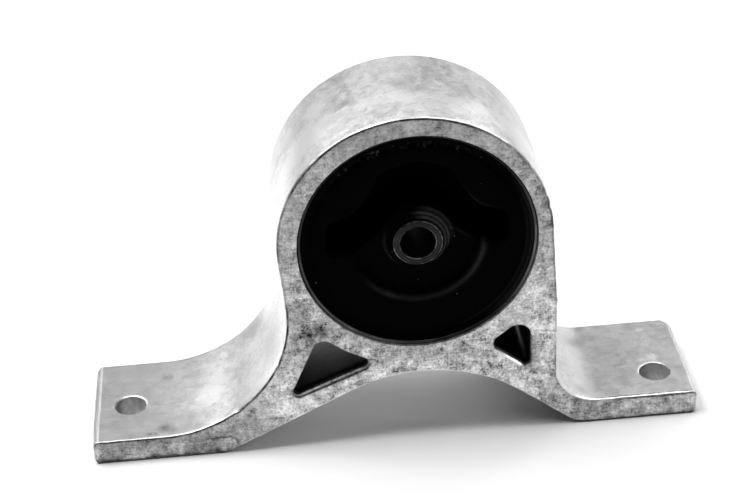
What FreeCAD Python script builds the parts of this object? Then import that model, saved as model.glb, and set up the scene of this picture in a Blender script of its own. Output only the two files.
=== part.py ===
import FreeCAD, Part
import math
import os

# Engine mount: a die-cast aluminium bracket with a bonded rubber bush pressed into its ring.
# Frame: origin on the bush axis at mid depth, +Y along the bush axis away from the front face,
# +X along the length towards the short foot, +Z up from the feet.  Millimetres.

V = FreeCAD.Vector

# ---------------------------------------------------------------- driving dimensions
DEPTH = 48.0            # bracket depth along the bush axis
Y_FRONT = -DEPTH / 2
Y_BACK = DEPTH / 2
Y_PART = Y_FRONT + 19.5  # casting parting plane, where the side walls are widest
DRAFT_PART = 0.60       # side walls stand out by this much at the parting plane ...
DRAFT_BACK = 0.30       # ... and by this much at the back face, against the front face

BORE_R = 41.5           # ring bore for the bush
RING_R = 47.65          # outer radius of the ring at the front face
RING_OFF = (-0.85, 0.75)  # the ring's outside is this far off the bore axis, x and z
Z_BOTTOM = -81.35       # underside of the feet
TRIM = 0.01             # the underside is trimmed flat by this much, to the height above
Z_TOP = -71.6           # top of the feet (feet are just under 10 mm thick)
X_LEFT = -119.2         # end of the long foot
X_RIGHT = 100.3         # end of the short foot
FOOT_END_R = 2.0        # rounding of the feet ends, seen from the front

LEAN_LEFT = 4.5         # degrees: the left wall leaves the ring tangent at this angle
LEAN_RIGHT = 2.8        # degrees: the right wall leaves the ring tangent at this angle
WALL_RIGHT = (48.2, -28.0)  # below this point the right wall is upright
SWEEP_LEFT_R = 47.0     # long concave sweep from the ring into the left foot
FILLET_RIGHT_R = 15.0   # concave corner from the right wall into the short foot

ARCH_CREST = -52.8      # highest point of the arch under the bush
ARCH_R = 57.0           # crest radius of the arch
ARCH_SLOPE_L = 26.0     # degrees, straight flank towards the left foot
ARCH_SLOPE_R = 38.0     # degrees, straight flank towards the right foot
ARCH_TOE_L = 12.0       # rounding from the left flank into the foot underside
ARCH_TOE_R = 12.0       # rounding from the right flank into the foot underside

HOLE_R = 5.5            # foot bolt holes
HOLE_BREAK = 0.5        # edge break of the bolt holes
HOLE_LEFT = (-105.95, -2.7)   # x, y of the long foot's hole
HOLE_RIGHT = (87.45, -9.4)   # x, y of the short foot's hole
CORNER_BACK_R = 4.5     # plan corner at the back of the short foot
CORNER_R = 0.4          # the two front plan corners of the feet
CORNER_BACK_L = 1.9     # plan corner at the back of the long foot

WINDOW_RING_R = (49.2, 48.8)  # left and right windows end on these radii about the bore axis
WINDOW_L = ((-34.6, -31.1), (-13.2, -45.95), (-48.05, -60.05))  # top, inner end, toe
WINDOW_R = ((38.9, -28.4), (38.95, -55.9), (22.0, -42.3))       # top, toe, inner end
WINDOW_L_R = (4.0, 2.3, 1.8)   # corner radii in the same order
WINDOW_R_R = (4.6, 1.6, 3.5)
WINDOW_LIP = 1.3        # bevelled lip of the window mouths, depth ...
WINDOW_LIP_L = 1.2      # ... and width, on the left window's lower side
WINDOW_LIP_R = 1.5      # ... and on the right window's lower and outer sides

SLEEVE_WALL = 1.2       # steel sleeve of the bush
SLEEVE_SET = 1.0        # sleeve ends sit this far inside the bracket faces
TUBE_R = 8.65           # inner steel tube, outer radius
TUBE_BORE_R = 6.15      # inner steel tube, bolt bore radius
TUBE_SET = 0.8          # tube ends sit this far inside the bracket faces
HUB_R = 13.3            # rubber hub around the tube
DISH_R = 22.4           # dished recess in the rubber faces
DISH_FLOOR = 5.0        # depth of the dish floor from the bracket face
RUBBER_FACE = 2.0       # depth of the rubber's outer face from the bracket face
POCKET_DEPTH = 20.0     # depth of the arched pocket over the hub from the bracket face

STEP_DEPTH = 0.35       # shallow relief along the front of the long foot
STEP_TOP = -74.5
STEP_END = -67.4


# ---------------------------------------------------------------- plane geometry helpers
def unit(a):
    n = math.hypot(a[0], a[1])
    return (a[0] / n, a[1] / n)


def fillet_corner(p, c, n, r):
    """Tangent points and mid point of an arc of radius r at corner c between p-c and c-n."""
    a = unit((p[0] - c[0], p[1] - c[1]))
    b = unit((n[0] - c[0], n[1] - c[1]))
    half = 0.5 * math.acos(max(-1.0, min(1.0, a[0] * b[0] + a[1] * b[1])))
    t = r / math.tan(half)
    m = unit((a[0] + b[0], a[1] + b[1]))
    cen = (c[0] + m[0] * r / math.sin(half), c[1] + m[1] * r / math.sin(half))
    return ((c[0] + a[0] * t, c[1] + a[1] * t),
            (cen[0] - m[0] * r, cen[1] - m[1] * r),
            (c[0] + b[0] * t, c[1] + b[1] * t))


def v3(p, y):
    return V(p[0], y, p[1])


def line(a, b, y):
    return Part.LineSegment(v3(a, y), v3(b, y)).toShape()


def arc(a, m, b, y):
    return Part.Arc(v3(a, y), v3(m, y), v3(b, y)).toShape()


def rounded_wire(points, y):
    """Closed wire through (x, z, radius) corners."""
    n = len(points)
    segs = []
    for i in range(n):
        p, c, q = points[i - 1], points[i], points[(i + 1) % n]
        segs.append(fillet_corner(p, c, q, c[2]) if c[2] > 0 else (c[:2], None, c[:2]))
    edges = []
    for i in range(n):
        a, m, b = segs[i]
        if m is not None:
            edges.append(arc(a, m, b, y))
        s = segs[(i + 1) % n][0]
        if math.hypot(s[0] - b[0], s[1] - b[1]) > 1e-6:
            edges.append(line(b, s, y))
    return Part.Wire(edges)


def rounded_prism(points, y0, y1):
    return Part.Face(rounded_wire(points, y0)).extrude(V(0, y1 - y0, 0))


def on_circle(r, deg):
    return (r * math.cos(math.radians(deg)), r * math.sin(math.radians(deg)))


# ---------------------------------------------------------------- bracket outline
def outline(d, y):
    """Bracket outline at depth y, grown by d on the drafted walls. The feet's tops and undersides are not drafted."""
    zb = Z_BOTTOM - TRIM
    ring = RING_R + d
    ox, oz = RING_OFF
    # left side: ring -> leaning wall -> long sweep -> foot top
    phi = math.radians(LEAN_LEFT)
    t_ring = (ox - ring * math.cos(phi), oz - ring * math.sin(phi))
    down = (math.sin(phi), -math.cos(phi))
    k = (Z_TOP - t_ring[1]) / down[1]
    corner_l = (t_ring[0] + down[0] * k, Z_TOP)
    xl = X_LEFT - 0.5 * d
    sweep = fillet_corner(t_ring, corner_l, (xl, Z_TOP), SWEEP_LEFT_R - d)
    top_l = fillet_corner((0.0, Z_TOP), (xl, Z_TOP), (xl, zb), FOOT_END_R)
    bot_l = fillet_corner((xl, Z_TOP), (xl, zb), (0.0, zb), FOOT_END_R)
    # underside: foot -> toe -> flank -> crest arc -> flank -> toe -> foot
    rc = ARCH_R - d
    cz = ARCH_CREST - ARCH_R
    sl, sr = math.radians(ARCH_SLOPE_L), math.radians(ARCH_SLOPE_R)
    crest_l = (-rc * math.sin(sl), cz + rc * math.cos(sl))
    crest_r = (rc * math.sin(sr), cz + rc * math.cos(sr))
    foot_l = (crest_l[0] - (crest_l[1] - zb) / math.tan(sl), zb)
    foot_r = (crest_r[0] + (crest_r[1] - zb) / math.tan(sr), zb)
    toe_l = fillet_corner((xl, zb), foot_l, crest_l, ARCH_TOE_L)
    toe_r = fillet_corner(crest_r, foot_r, (X_RIGHT, zb), ARCH_TOE_R)
    # right side
    xr = X_RIGHT + 0.5 * d
    bot_r = fillet_corner((0.0, zb), (xr, zb), (xr, Z_TOP), FOOT_END_R + 0.5)
    top_r = fillet_corner((xr, zb), (xr, Z_TOP), (0.0, Z_TOP), FOOT_END_R * 0.9)
    wall = 48.3 + d
    corner_r = fillet_corner((xr, Z_TOP), (wall, Z_TOP), (wall, 0.0), FILLET_RIGHT_R - d)
    w1 = (WALL_RIGHT[0] + d, WALL_RIGHT[1])
    al = math.radians(LEAN_RIGHT)
    w2 = (ox + ring * math.cos(al), oz + ring * math.sin(al))
    crown = (ox + ring * math.cos(math.radians(91.0)), oz + ring * math.sin(math.radians(91.0)))
    e = [
        arc(*bot_l, y), line(bot_l[2], toe_l[0], y), arc(*toe_l, y), line(toe_l[2], crest_l, y),
        arc(crest_l, (0.0, cz + rc), crest_r, y), line(crest_r, toe_r[0], y), arc(*toe_r, y),
        line(toe_r[2], bot_r[0], y), arc(*bot_r, y), line(bot_r[2], top_r[0], y), arc(*top_r, y),
        line(top_r[2], corner_r[0], y), arc(*corner_r, y), line(corner_r[2], w1, y),
        line(w1, w2, y), arc(w2, crown, t_ring, y),
        line(t_ring, sweep[0], y), arc(*sweep, y), line(sweep[2], top_l[0], y), arc(*top_l, y),
        line(top_l[2], bot_l[0], y),
    ]
    return Part.Wire(e)


def make_bracket():
    w_front = outline(0.0, Y_FRONT)
    w_part = outline(DRAFT_PART, Y_PART)
    w_back = outline(DRAFT_BACK, Y_BACK)
    front = Part.makeLoft([w_front, w_part], True, True)
    back = Part.makeLoft([w_part, w_back], True, True)
    body = front.fuse(back)
    # flat underside of both feet
    body = body.cut(Part.makeBox(300, 80, 5, V(-150, -40, Z_BOTTOM - 5)))

    # feet corners in plan: cut what lies outside a rounded corner
    def corner(x, y, sx, sy, r):
        block = Part.makeBox(r + 1, r + 1, 20, V(min(x + sx * 1, x - sx * r), min(y + sy * 1, y - sy * r), Z_BOTTOM - 5))
        disc = Part.makeCylinder(r, 22, V(x - sx * r, y - sy * r, Z_BOTTOM - 6), V(0, 0, 1))
        return block.cut(disc)

    xr_f, xr_b = X_RIGHT, X_RIGHT + 0.5 * DRAFT_BACK
    for x, y, sx, sy, r in (
        (xr_b, Y_BACK, 1, 1, CORNER_BACK_R),
        (xr_f, Y_FRONT, 1, -1, CORNER_R),
        (X_LEFT - 0.5 * DRAFT_BACK, Y_BACK, -1, 1, CORNER_BACK_L),
        (X_LEFT, Y_FRONT, -1, -1, CORNER_R),
    ):
        body = body.cut(corner(x, y, sx, sy, r))

    # bush bore
    bore = Part.makeCylinder(BORE_R, DEPTH + 2, V(0, Y_FRONT - 1, 0), V(0, 1, 0))
    body = body.cut(bore)

    return body


def straight_triangle(pts, y0, y1):
    p = [v3(q, y0) for q in pts]
    return Part.Face(Part.makePolygon(p + [p[0]])).extrude(V(0, y1 - y0, 0))


def window(pts, radii, ring_r, y0, y1):
    """Triangular through window, closed towards the bush by an arc about the bush axis, with rounded corners."""
    ring = Part.makeCylinder(ring_r, y1 - y0 + 2, V(0, y0 - 1, 0), V(0, 1, 0))
    prism = straight_triangle(pts, y0, y1).cut(ring)
    for q, r in zip(pts, radii):
        best = None
        for e in prism.Edges:
            a, b = e.Vertexes[0].Point, e.Vertexes[-1].Point
            if abs(a.x - b.x) < 1e-6 and abs(a.z - b.z) < 1e-6 and abs(a.y - b.y) > 1:
                k = math.hypot(a.x - q[0], a.z - q[1])
                if best is None or k < best[0]:
                    best = (k, e)
        prism = prism.makeFillet(r, [best[1]])
    return prism


def lip(a, b, inward, width, ext, y_face, sgn):
    """Wedge along the window side from a to b: a bevel WINDOW_LIP deep and width wide at the face y_face."""
    t = unit((b[0] - a[0], b[1] - a[1]))
    n = inward
    a2 = (a[0] - t[0] * ext[0], a[1] - t[1] * ext[0])
    lo, hi = y_face - sgn * 0.2, y_face + sgn * WINDOW_LIP
    k = width * (WINDOW_LIP + 0.2) / WINDOW_LIP
    tri = [V(a2[0] - n[0] * k, lo, a2[1] - n[1] * k), V(a2[0] + n[0] * 1.2, lo, a2[1] + n[1] * 1.2),
           V(a2[0] + n[0] * 1.2, hi, a2[1] + n[1] * 1.2), V(a2[0], hi, a2[1])]
    length = math.hypot(b[0] - a2[0], b[1] - a2[1]) + ext[1]
    return Part.Face(Part.makePolygon(tri + [tri[0]])).extrude(V(t[0] * length, 0, t[1] * length))


def build_bracket():
    body = make_bracket()
    y0, y1 = Y_FRONT - 1.0, Y_BACK + 1.0
    body = body.cut(window(WINDOW_L, WINDOW_L_R, WINDOW_RING_R[0], y0, y1))
    body = body.cut(window(WINDOW_R, WINDOW_R_R, WINDOW_RING_R[1], y0, y1))
    # bevelled lips of the window mouths, front and back
    toe, end = WINDOW_L[2], WINDOW_L[1]
    t = unit((end[0] - toe[0], end[1] - toe[1]))
    n = (-t[1], t[0])
    for yf, sgn in ((Y_FRONT, 1), (Y_BACK, -1)):
        body = body.cut(lip(toe, end, n, WINDOW_LIP_L, (-4.3, -6.6), yf, sgn))
    end, toe, top = WINDOW_R[2], WINDOW_R[1], WINDOW_R[0]
    t = unit((toe[0] - end[0], toe[1] - end[1]))
    n = (-t[1], t[0])
    t2 = unit((top[0] - toe[0], top[1] - toe[1]))
    n2 = (-t2[1], t2[0])
    for yf, sgn in ((Y_FRONT, 1), (Y_BACK, -1)):
        body = body.cut(lip(end, toe, n, WINDOW_LIP_R * 0.75, (-4.4, -2.9), yf, sgn))
        body = body.cut(lip(toe, top, n2, WINDOW_LIP_R, (-2.4, -13.0), yf, sgn))
    # bolt holes with a small edge break at both ends
    for x, y in (HOLE_LEFT, HOLE_RIGHT):
        body = body.cut(Part.makeCylinder(HOLE_R, 20, V(x, y, Z_BOTTOM - 5), V(0, 0, 1)))
        for z, s in ((Z_TOP, 1), (Z_BOTTOM, -1)):
            cone = Part.makeCone(HOLE_R, HOLE_R + HOLE_BREAK + 0.2, HOLE_BREAK + 0.2, V(x, y, z - s * HOLE_BREAK), V(0, 0, s))
            body = body.cut(cone)
    # shallow relief along the lower front edge of the long foot
    relief = rounded_prism([(X_LEFT - 6.0, Z_BOTTOM - 8.0, 0.0), (X_LEFT - 6.0, STEP_TOP, 0.0), (STEP_END, STEP_TOP, 2.6),
                            (STEP_END + 0.5, Z_BOTTOM - 8.0, 0.0)], Y_FRONT - 1.0, Y_FRONT + STEP_DEPTH)
    body = body.cut(relief)
    return body


def solid_of(shape):
    s = shape.removeSplitter()
    sol = s.Solids
    assert len(sol) == 1, "expected one solid, got %d" % len(sol)
    return sol[0]


# ---------------------------------------------------------------- bush
def revolve_profile(points):
    """Solid of revolution about the Y axis from (r, y) corners."""
    edges = []
    n = len(points)
    for i in range(n):
        a, b = points[i], points[(i + 1) % n]
        edges.append(Part.LineSegment(V(a[0], a[1], 0), V(b[0], b[1], 0)).toShape())
    return Part.Face(Part.Wire(edges)).revolve(V(0, 0, 0), V(0, 1, 0), 360)


def make_sleeve():
    y0, y1 = Y_FRONT + SLEEVE_SET, Y_BACK - SLEEVE_SET
    ri = BORE_R - SLEEVE_WALL
    c = 0.4
    return revolve_profile([(BORE_R - c, y0), (BORE_R, y0 + c), (BORE_R, y1 - c), (BORE_R - c, y1), (ri, y1), (ri, y0)])


def make_tube():
    y0, y1 = Y_FRONT + TUBE_SET, Y_BACK - TUBE_SET
    c = 0.45
    return revolve_profile([
        (TUBE_BORE_R + c, y0), (TUBE_R - c, y0), (TUBE_R, y0 + c), (TUBE_R, y1 - c), (TUBE_R - c, y1),
        (TUBE_BORE_R + c, y1), (TUBE_BORE_R, y1 - c), (TUBE_BORE_R, y0 + c)])


def make_rubber():
    ro = BORE_R - SLEEVE_WALL
    # half profile of one face as (radius, depth from the bracket face); the other face mirrors it
    face = [
        (TUBE_R, 1.7), (9.45, 1.7), (9.75, 2.5), (10.75, 2.7), (11.15, 3.6), (12.4, 3.8), (HUB_R, DISH_FLOOR),
        (20.0, DISH_FLOOR), (21.3, 4.2), (DISH_R, 2.6), (23.7, RUBBER_FACE), (35.6, RUBBER_FACE),
        (37.2, 2.9), (38.8, 2.6), (ro, 1.4)]
    pts = [(r, Y_FRONT + d) for r, d in face] + [(r, Y_BACK - d) for r, d in reversed(face)]
    body = revolve_profile(pts)
    # the arched pocket over the hub, between the hub and the two upper stops: one in each face, with a web between them
    half = [(31.4, -3.4, 3.4), (31.2, 9.2, 3.6), (21.6, 12.2, 9.0), (15.9, 19.2, 5.0), (12.2, 27.6, 6.0), (0.0, 31.4, 14.0)]
    left = [(-x, z, r) for x, z, r in reversed(half[:-1])]
    low = [(-21.8, -3.4, 3.0), (-12.2, 6.0, 0.0), (12.2, 6.0, 0.0), (21.8, -3.4, 3.0)]
    hub = Part.makeCylinder(HUB_R, DEPTH + 4, V(0, Y_FRONT - 2, 0), V(0, 1, 0))
    for y0, y1 in ((Y_FRONT - 1, Y_FRONT + POCKET_DEPTH), (Y_BACK - POCKET_DEPTH, Y_BACK + 1)):
        body = body.cut(rounded_prism(half + left + low, y0, y1).cut(hub))
    return body


def main():
    os.makedirs("parts", exist_ok=True)
    bracket = solid_of(build_bracket())
    sleeve = solid_of(make_sleeve())
    rubber = solid_of(make_rubber())
    tube = solid_of(make_tube())
    parts = {"bracket": bracket, "bush_outer_sleeve": sleeve, "bush_rubber": rubber, "bush_inner_tube": tube}
    for name, s in parts.items():
        bb = s.BoundBox
        print("%-18s valid %s  volume %.1f mm3  box x %.2f..%.2f  y %.2f..%.2f  z %.2f..%.2f" % (
            name, s.isValid(), s.Volume, bb.XMin, bb.XMax, bb.YMin, bb.YMax, bb.ZMin, bb.ZMax))
        s.exportStep("parts/%s.step" % name)


main()
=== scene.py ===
import bpy, bmesh, math
import numpy as np
from mathutils import Vector, Matrix, noise
from mathutils.geometry import delaunay_2d_cdt


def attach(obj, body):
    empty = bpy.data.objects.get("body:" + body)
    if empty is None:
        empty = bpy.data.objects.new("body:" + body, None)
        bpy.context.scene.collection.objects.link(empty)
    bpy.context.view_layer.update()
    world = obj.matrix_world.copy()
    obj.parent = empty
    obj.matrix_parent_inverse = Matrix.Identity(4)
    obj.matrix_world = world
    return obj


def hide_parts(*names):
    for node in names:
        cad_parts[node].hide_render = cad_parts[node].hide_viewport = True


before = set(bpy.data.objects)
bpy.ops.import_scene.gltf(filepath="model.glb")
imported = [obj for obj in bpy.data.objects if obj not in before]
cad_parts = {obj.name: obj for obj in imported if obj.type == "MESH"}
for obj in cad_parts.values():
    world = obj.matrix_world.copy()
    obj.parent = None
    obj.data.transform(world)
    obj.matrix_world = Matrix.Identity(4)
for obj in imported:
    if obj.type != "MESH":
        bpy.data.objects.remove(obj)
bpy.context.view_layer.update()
MM = 0.001

# ------------------------------------------------------------------ sizes, millimetres, as in the CAD source
DEPTH, Y_FRONT, Y_BACK = 48.0, -24.0, 24.0
Y_PART = Y_FRONT + 19.5
DRAFT_PART, DRAFT_BACK = 0.60, 0.30
BORE_R, RING_R, RING_OFF = 41.5, 47.65, (-0.85, 0.75)
Z_BOTTOM, Z_TOP, X_LEFT, X_RIGHT = -81.35, -71.6, -119.2, 100.3
FOOT_END_R = 2.0
LEAN_LEFT, LEAN_RIGHT, WALL_RIGHT = 4.5, 2.8, (48.2, -28.0)
SWEEP_LEFT_R, FILLET_RIGHT_R = 47.0, 15.0
ARCH_CREST, ARCH_R = -52.8, 57.0
ARCH_SLOPE_L, ARCH_SLOPE_R, ARCH_TOE_L, ARCH_TOE_R = 26.0, 38.0, 12.0, 12.0
HOLE_R, HOLE_BREAK = 5.5, 0.5
HOLE_LEFT, HOLE_RIGHT = (-105.95, -2.7), (87.45, -9.4)
CORNER_BACK_R, CORNER_BACK_L, CORNER_R = 4.5, 1.9, 0.4
WINDOW_RING_R = (49.2, 48.8)
STEP_DEPTH, STEP_TOP, STEP_END = 0.35, -74.5, -67.4
TUBE_R, TUBE_BORE_R = 8.65, 6.15
SLEEVE_R = 40.3
HUB_R = 13.3


# ------------------------------------------------------------------ plane geometry
def unit(a):
    n = math.hypot(a[0], a[1])
    return (a[0] / n, a[1] / n)


def fillet_corner(p, c, n, r):
    a = unit((p[0] - c[0], p[1] - c[1]))
    b = unit((n[0] - c[0], n[1] - c[1]))
    half = 0.5 * math.acos(max(-1.0, min(1.0, a[0] * b[0] + a[1] * b[1])))
    t = r / math.tan(half)
    m = unit((a[0] + b[0], a[1] + b[1]))
    cen = (c[0] + m[0] * r / math.sin(half), c[1] + m[1] * r / math.sin(half))
    return ((c[0] + a[0] * t, c[1] + a[1] * t), (cen[0] - m[0] * r, cen[1] - m[1] * r), (c[0] + b[0] * t, c[1] + b[1] * t))


def circle3(a, b, c):
    ax, ay, bx, by, cx, cy = *a, *b, *c
    d = 2 * (ax * (by - cy) + bx * (cy - ay) + cx * (ay - by))
    ux = ((ax * ax + ay * ay) * (by - cy) + (bx * bx + by * by) * (cy - ay) + (cx * cx + cy * cy) * (ay - by)) / d
    uy = ((ax * ax + ay * ay) * (cx - bx) + (bx * bx + by * by) * (ax - cx) + (cx * cx + cy * cy) * (bx - ax)) / d
    return (ux, uy), math.hypot(ax - ux, ay - uy)


def prim_len(p):
    if p[0] == "L":
        return math.hypot(p[2][0] - p[1][0], p[2][1] - p[1][1])
    cen, r = circle3(*p[1:4])
    return r * abs(arc_sweep(cen, *p[1:4]))


def arc_sweep(cen, a, m, b):
    t0 = math.atan2(a[1] - cen[1], a[0] - cen[0])
    t1 = (math.atan2(m[1] - cen[1], m[0] - cen[0]) - t0) % (2 * math.pi)
    t2 = (math.atan2(b[1] - cen[1], b[0] - cen[0]) - t0) % (2 * math.pi)
    return t2 if t1 <= t2 else t2 - 2 * math.pi


def prim_points(p, n):
    """n points from the start of a primitive, its end left out."""
    if p[0] == "L":
        a, b = np.array(p[1]), np.array(p[2])
        t = np.arange(n)[:, None] / n
        return a + (b - a) * t
    cen, r = circle3(*p[1:4])
    s = arc_sweep(cen, *p[1:4])
    t0 = math.atan2(p[1][1] - cen[1], p[1][0] - cen[0])
    t = t0 + s * np.arange(n) / n
    return np.stack([cen[0] + r * np.cos(t), cen[1] + r * np.sin(t)], 1)


def outline_prims(d):
    ring = RING_R + d
    ox, oz = RING_OFF
    phi = math.radians(LEAN_LEFT)
    t_ring = (ox - ring * math.cos(phi), oz - ring * math.sin(phi))
    down = (math.sin(phi), -math.cos(phi))
    k = (Z_TOP - t_ring[1]) / down[1]
    corner_l = (t_ring[0] + down[0] * k, Z_TOP)
    xl = X_LEFT - 0.5 * d
    sweep = fillet_corner(t_ring, corner_l, (xl, Z_TOP), SWEEP_LEFT_R - d)
    top_l = fillet_corner((0.0, Z_TOP), (xl, Z_TOP), (xl, Z_BOTTOM), FOOT_END_R)
    bot_l = fillet_corner((xl, Z_TOP), (xl, Z_BOTTOM), (0.0, Z_BOTTOM), FOOT_END_R)
    rc = ARCH_R - d
    cz = ARCH_CREST - ARCH_R
    sl, sr = math.radians(ARCH_SLOPE_L), math.radians(ARCH_SLOPE_R)
    crest_l = (-rc * math.sin(sl), cz + rc * math.cos(sl))
    crest_r = (rc * math.sin(sr), cz + rc * math.cos(sr))
    foot_l = (crest_l[0] - (crest_l[1] - Z_BOTTOM) / math.tan(sl), Z_BOTTOM)
    foot_r = (crest_r[0] + (crest_r[1] - Z_BOTTOM) / math.tan(sr), Z_BOTTOM)
    toe_l = fillet_corner((xl, Z_BOTTOM), foot_l, crest_l, ARCH_TOE_L)
    toe_r = fillet_corner(crest_r, foot_r, (X_RIGHT, Z_BOTTOM), ARCH_TOE_R)
    xr = X_RIGHT + 0.5 * d
    bot_r = fillet_corner((0.0, Z_BOTTOM), (xr, Z_BOTTOM), (xr, Z_TOP), FOOT_END_R + 0.5)
    top_r = fillet_corner((xr, Z_BOTTOM), (xr, Z_TOP), (0.0, Z_TOP), FOOT_END_R * 0.9)
    wall = 48.3 + d
    corner_r = fillet_corner((xr, Z_TOP), (wall, Z_TOP), (wall, 0.0), FILLET_RIGHT_R - d)
    w1 = (WALL_RIGHT[0] + d, WALL_RIGHT[1])
    al = math.radians(LEAN_RIGHT)
    w2 = (ox + ring * math.cos(al), oz + ring * math.sin(al))
    crown = (ox + ring * math.cos(math.radians(91.0)), oz + ring * math.sin(math.radians(91.0)))
    A, L = "A", "L"
    return [
        (A, *bot_l), (L, bot_l[2], toe_l[0]), (A, *toe_l), (L, toe_l[2], crest_l),
        (A, crest_l, (0.0, cz + rc), crest_r), (L, crest_r, toe_r[0]), (A, *toe_r),
        (L, toe_r[2], bot_r[0]), (A, *bot_r), (L, bot_r[2], top_r[0]), (A, *top_r),
        (L, top_r[2], corner_r[0]), (A, *corner_r), (L, corner_r[2], w1),
        (L, w1, w2), (A, w2, crown, t_ring),
        (L, t_ring, sweep[0]), (A, *sweep), (L, sweep[2], top_l[0]), (A, *top_l),
        (L, top_l[2], bot_l[0]),
    ]


def counts_for(prims, s, least=5):
    return [max(least if p[0] == "A" else 2, int(round(prim_len(p) / s))) for p in prims]


def sample(prims, counts):
    return np.concatenate([prim_points(p, n) for p, n in zip(prims, counts)])


def normals2(P):
    """Outward normals of a counter-clockwise closed polyline."""
    t = np.roll(P, -1, 0) - np.roll(P, 1, 0)
    t /= np.linalg.norm(t, axis=1)[:, None]
    return np.stack([t[:, 1], -t[:, 0]], 1)


def window_prims(toe, out_pt, in_pt, r_toe, r_out, r_in, R):
    """Counter-clockwise triangular window whose third side is an arc of radius R about the bush axis."""
    f_toe = fillet_corner(in_pt, toe, out_pt, r_toe)

    def line_circle(p, q, r):
        # centre of a fillet of radius r, left of p->q, outside the circle R; the solution nearest q
        t = unit((q[0] - p[0], q[1] - p[1]))
        n = (-t[1], t[0])
        bx, by = p[0] + n[0] * r, p[1] + n[1] * r
        B = bx * t[0] + by * t[1]
        C = bx * bx + by * by - (R + r) ** 2
        disc = math.sqrt(B * B - C)
        best = min((-B - disc, -B + disc), key=lambda k: math.hypot(bx + t[0] * k - q[0], by + t[1] * k - q[1]))
        c = (bx + t[0] * best, by + t[1] * best)
        on_line = (c[0] - n[0] * r, c[1] - n[1] * r)
        kk = R / (R + r)
        on_circ = (c[0] * kk, c[1] * kk)
        mid = unit((on_line[0] + on_circ[0] - 2 * c[0], on_line[1] + on_circ[1] - 2 * c[1]))
        return on_line, (c[0] + mid[0] * r, c[1] + mid[1] * r), on_circ

    lo, mo, co = line_circle(toe, out_pt, r_out)
    # for the incoming line the fillet lies left of in_pt->toe too: mirror the search by going backwards
    t = unit((toe[0] - in_pt[0], toe[1] - in_pt[1]))
    n = (-t[1], t[0])
    bx, by = toe[0] + n[0] * r_in, toe[1] + n[1] * r_in
    tb = (-t[0], -t[1])
    B = bx * tb[0] + by * tb[1]
    C = bx * bx + by * by - (R + r_in) ** 2
    disc = math.sqrt(B * B - C)
    best = min((-B - disc, -B + disc), key=lambda k: math.hypot(bx + tb[0] * k - in_pt[0], by + tb[1] * k - in_pt[1]))
    c = (bx + tb[0] * best, by + tb[1] * best)
    li = (c[0] - n[0] * r_in, c[1] - n[1] * r_in)
    kk = R / (R + r_in)
    ci = (c[0] * kk, c[1] * kk)
    m = unit((li[0] + ci[0] - 2 * c[0], li[1] + ci[1] - 2 * c[1]))
    mi = (c[0] + m[0] * r_in, c[1] + m[1] * r_in)
    # arc along the ring, seen from the window it bulges into it
    am = unit((co[0] + ci[0], co[1] + ci[1]))
    return [("A", *f_toe), ("L", f_toe[2], lo), ("A", lo, mo, co), ("A", co, (am[0] * R, am[1] * R), ci),
            ("A", ci, mi, li), ("L", li, f_toe[0])]


def inside(P, poly):
    x, y = P[:, 0], P[:, 1]
    res = np.zeros(len(P), bool)
    q = np.roll(poly, -1, 0)
    for (x1, y1), (x2, y2) in zip(poly, q):
        c = (y1 > y) != (y2 > y)
        if c.any():
            xi = x1 + (y - y1) / ((y2 - y1) if y2 != y1 else 1e-12) * (x2 - x1)
            res ^= c & (x < xi)
    return res


def dist_to(P, poly):
    """Distance of each point to a densely sampled closed polyline."""
    out = np.empty(len(P))
    for i in range(0, len(P), 2000):
        d = P[i:i + 2000, None, :] - poly[None]
        out[i:i + 2000] = np.sqrt((d ** 2).sum(2).min(1))
    return out


def smooth01(t):
    t = np.clip(t, 0, 1)
    return t * t * (3 - 2 * t)


# ------------------------------------------------------------------ noise helpers, all deterministic
def nz(P, scale, seed=0.0, octaves=1):
    """Perlin noise of points in millimetres, features about scale millimetres wide, -1..1."""
    out = np.zeros(len(P))
    amp, tot = 1.0, 0.0
    s = scale
    for o in range(octaves):
        off = Vector((seed * 17.3 + o * 5.1, seed * 3.7 - o * 2.2, seed * 9.1))
        out += amp * np.array([noise.noise(Vector(p) / s + off) for p in P])
        tot += amp
        amp *= 0.5
        s *= 0.5
    return out / tot


def new_object(name, verts_mm, faces, attrs=None):
    me = bpy.data.meshes.new(name)
    me.from_pydata([tuple(v * MM) for v in np.asarray(verts_mm, float)], [], [tuple(int(i) for i in f) for f in faces])
    for k, a in (attrs or {}).items():
        at = me.attributes.new(k, "FLOAT", "POINT")
        at.data.foreach_set("value", np.asarray(a, np.float32))
    ob = bpy.data.objects.new(name, me)
    bpy.context.scene.collection.objects.link(ob)
    return ob


def apply_mods(ob):
    dg = bpy.context.evaluated_depsgraph_get()
    me = bpy.data.meshes.new_from_object(ob.evaluated_get(dg), preserve_all_data_layers=True, depsgraph=dg)
    old = ob.data
    ob.modifiers.clear()
    ob.data = me
    me.name = old.name
    bpy.data.meshes.remove(old)
    return ob


def recalc(ob):
    bm = bmesh.new()
    bm.from_mesh(ob.data)
    bmesh.ops.recalc_face_normals(bm, faces=bm.faces)
    bm.to_mesh(ob.data)
    bm.free()


def get_co(me):
    co = np.empty(len(me.vertices) * 3, np.float32)
    me.vertices.foreach_get("co", co)
    return co.reshape(-1, 3).astype(float) / MM


def set_co(me, co):
    me.vertices.foreach_set("co", (np.asarray(co) * MM).astype(np.float32).ravel())
    me.update()


def get_nor(me):
    n = np.empty(len(me.vertices) * 3, np.float32)
    me.vertices.foreach_get("normal", n)
    return n.reshape(-1, 3).astype(float)


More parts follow.
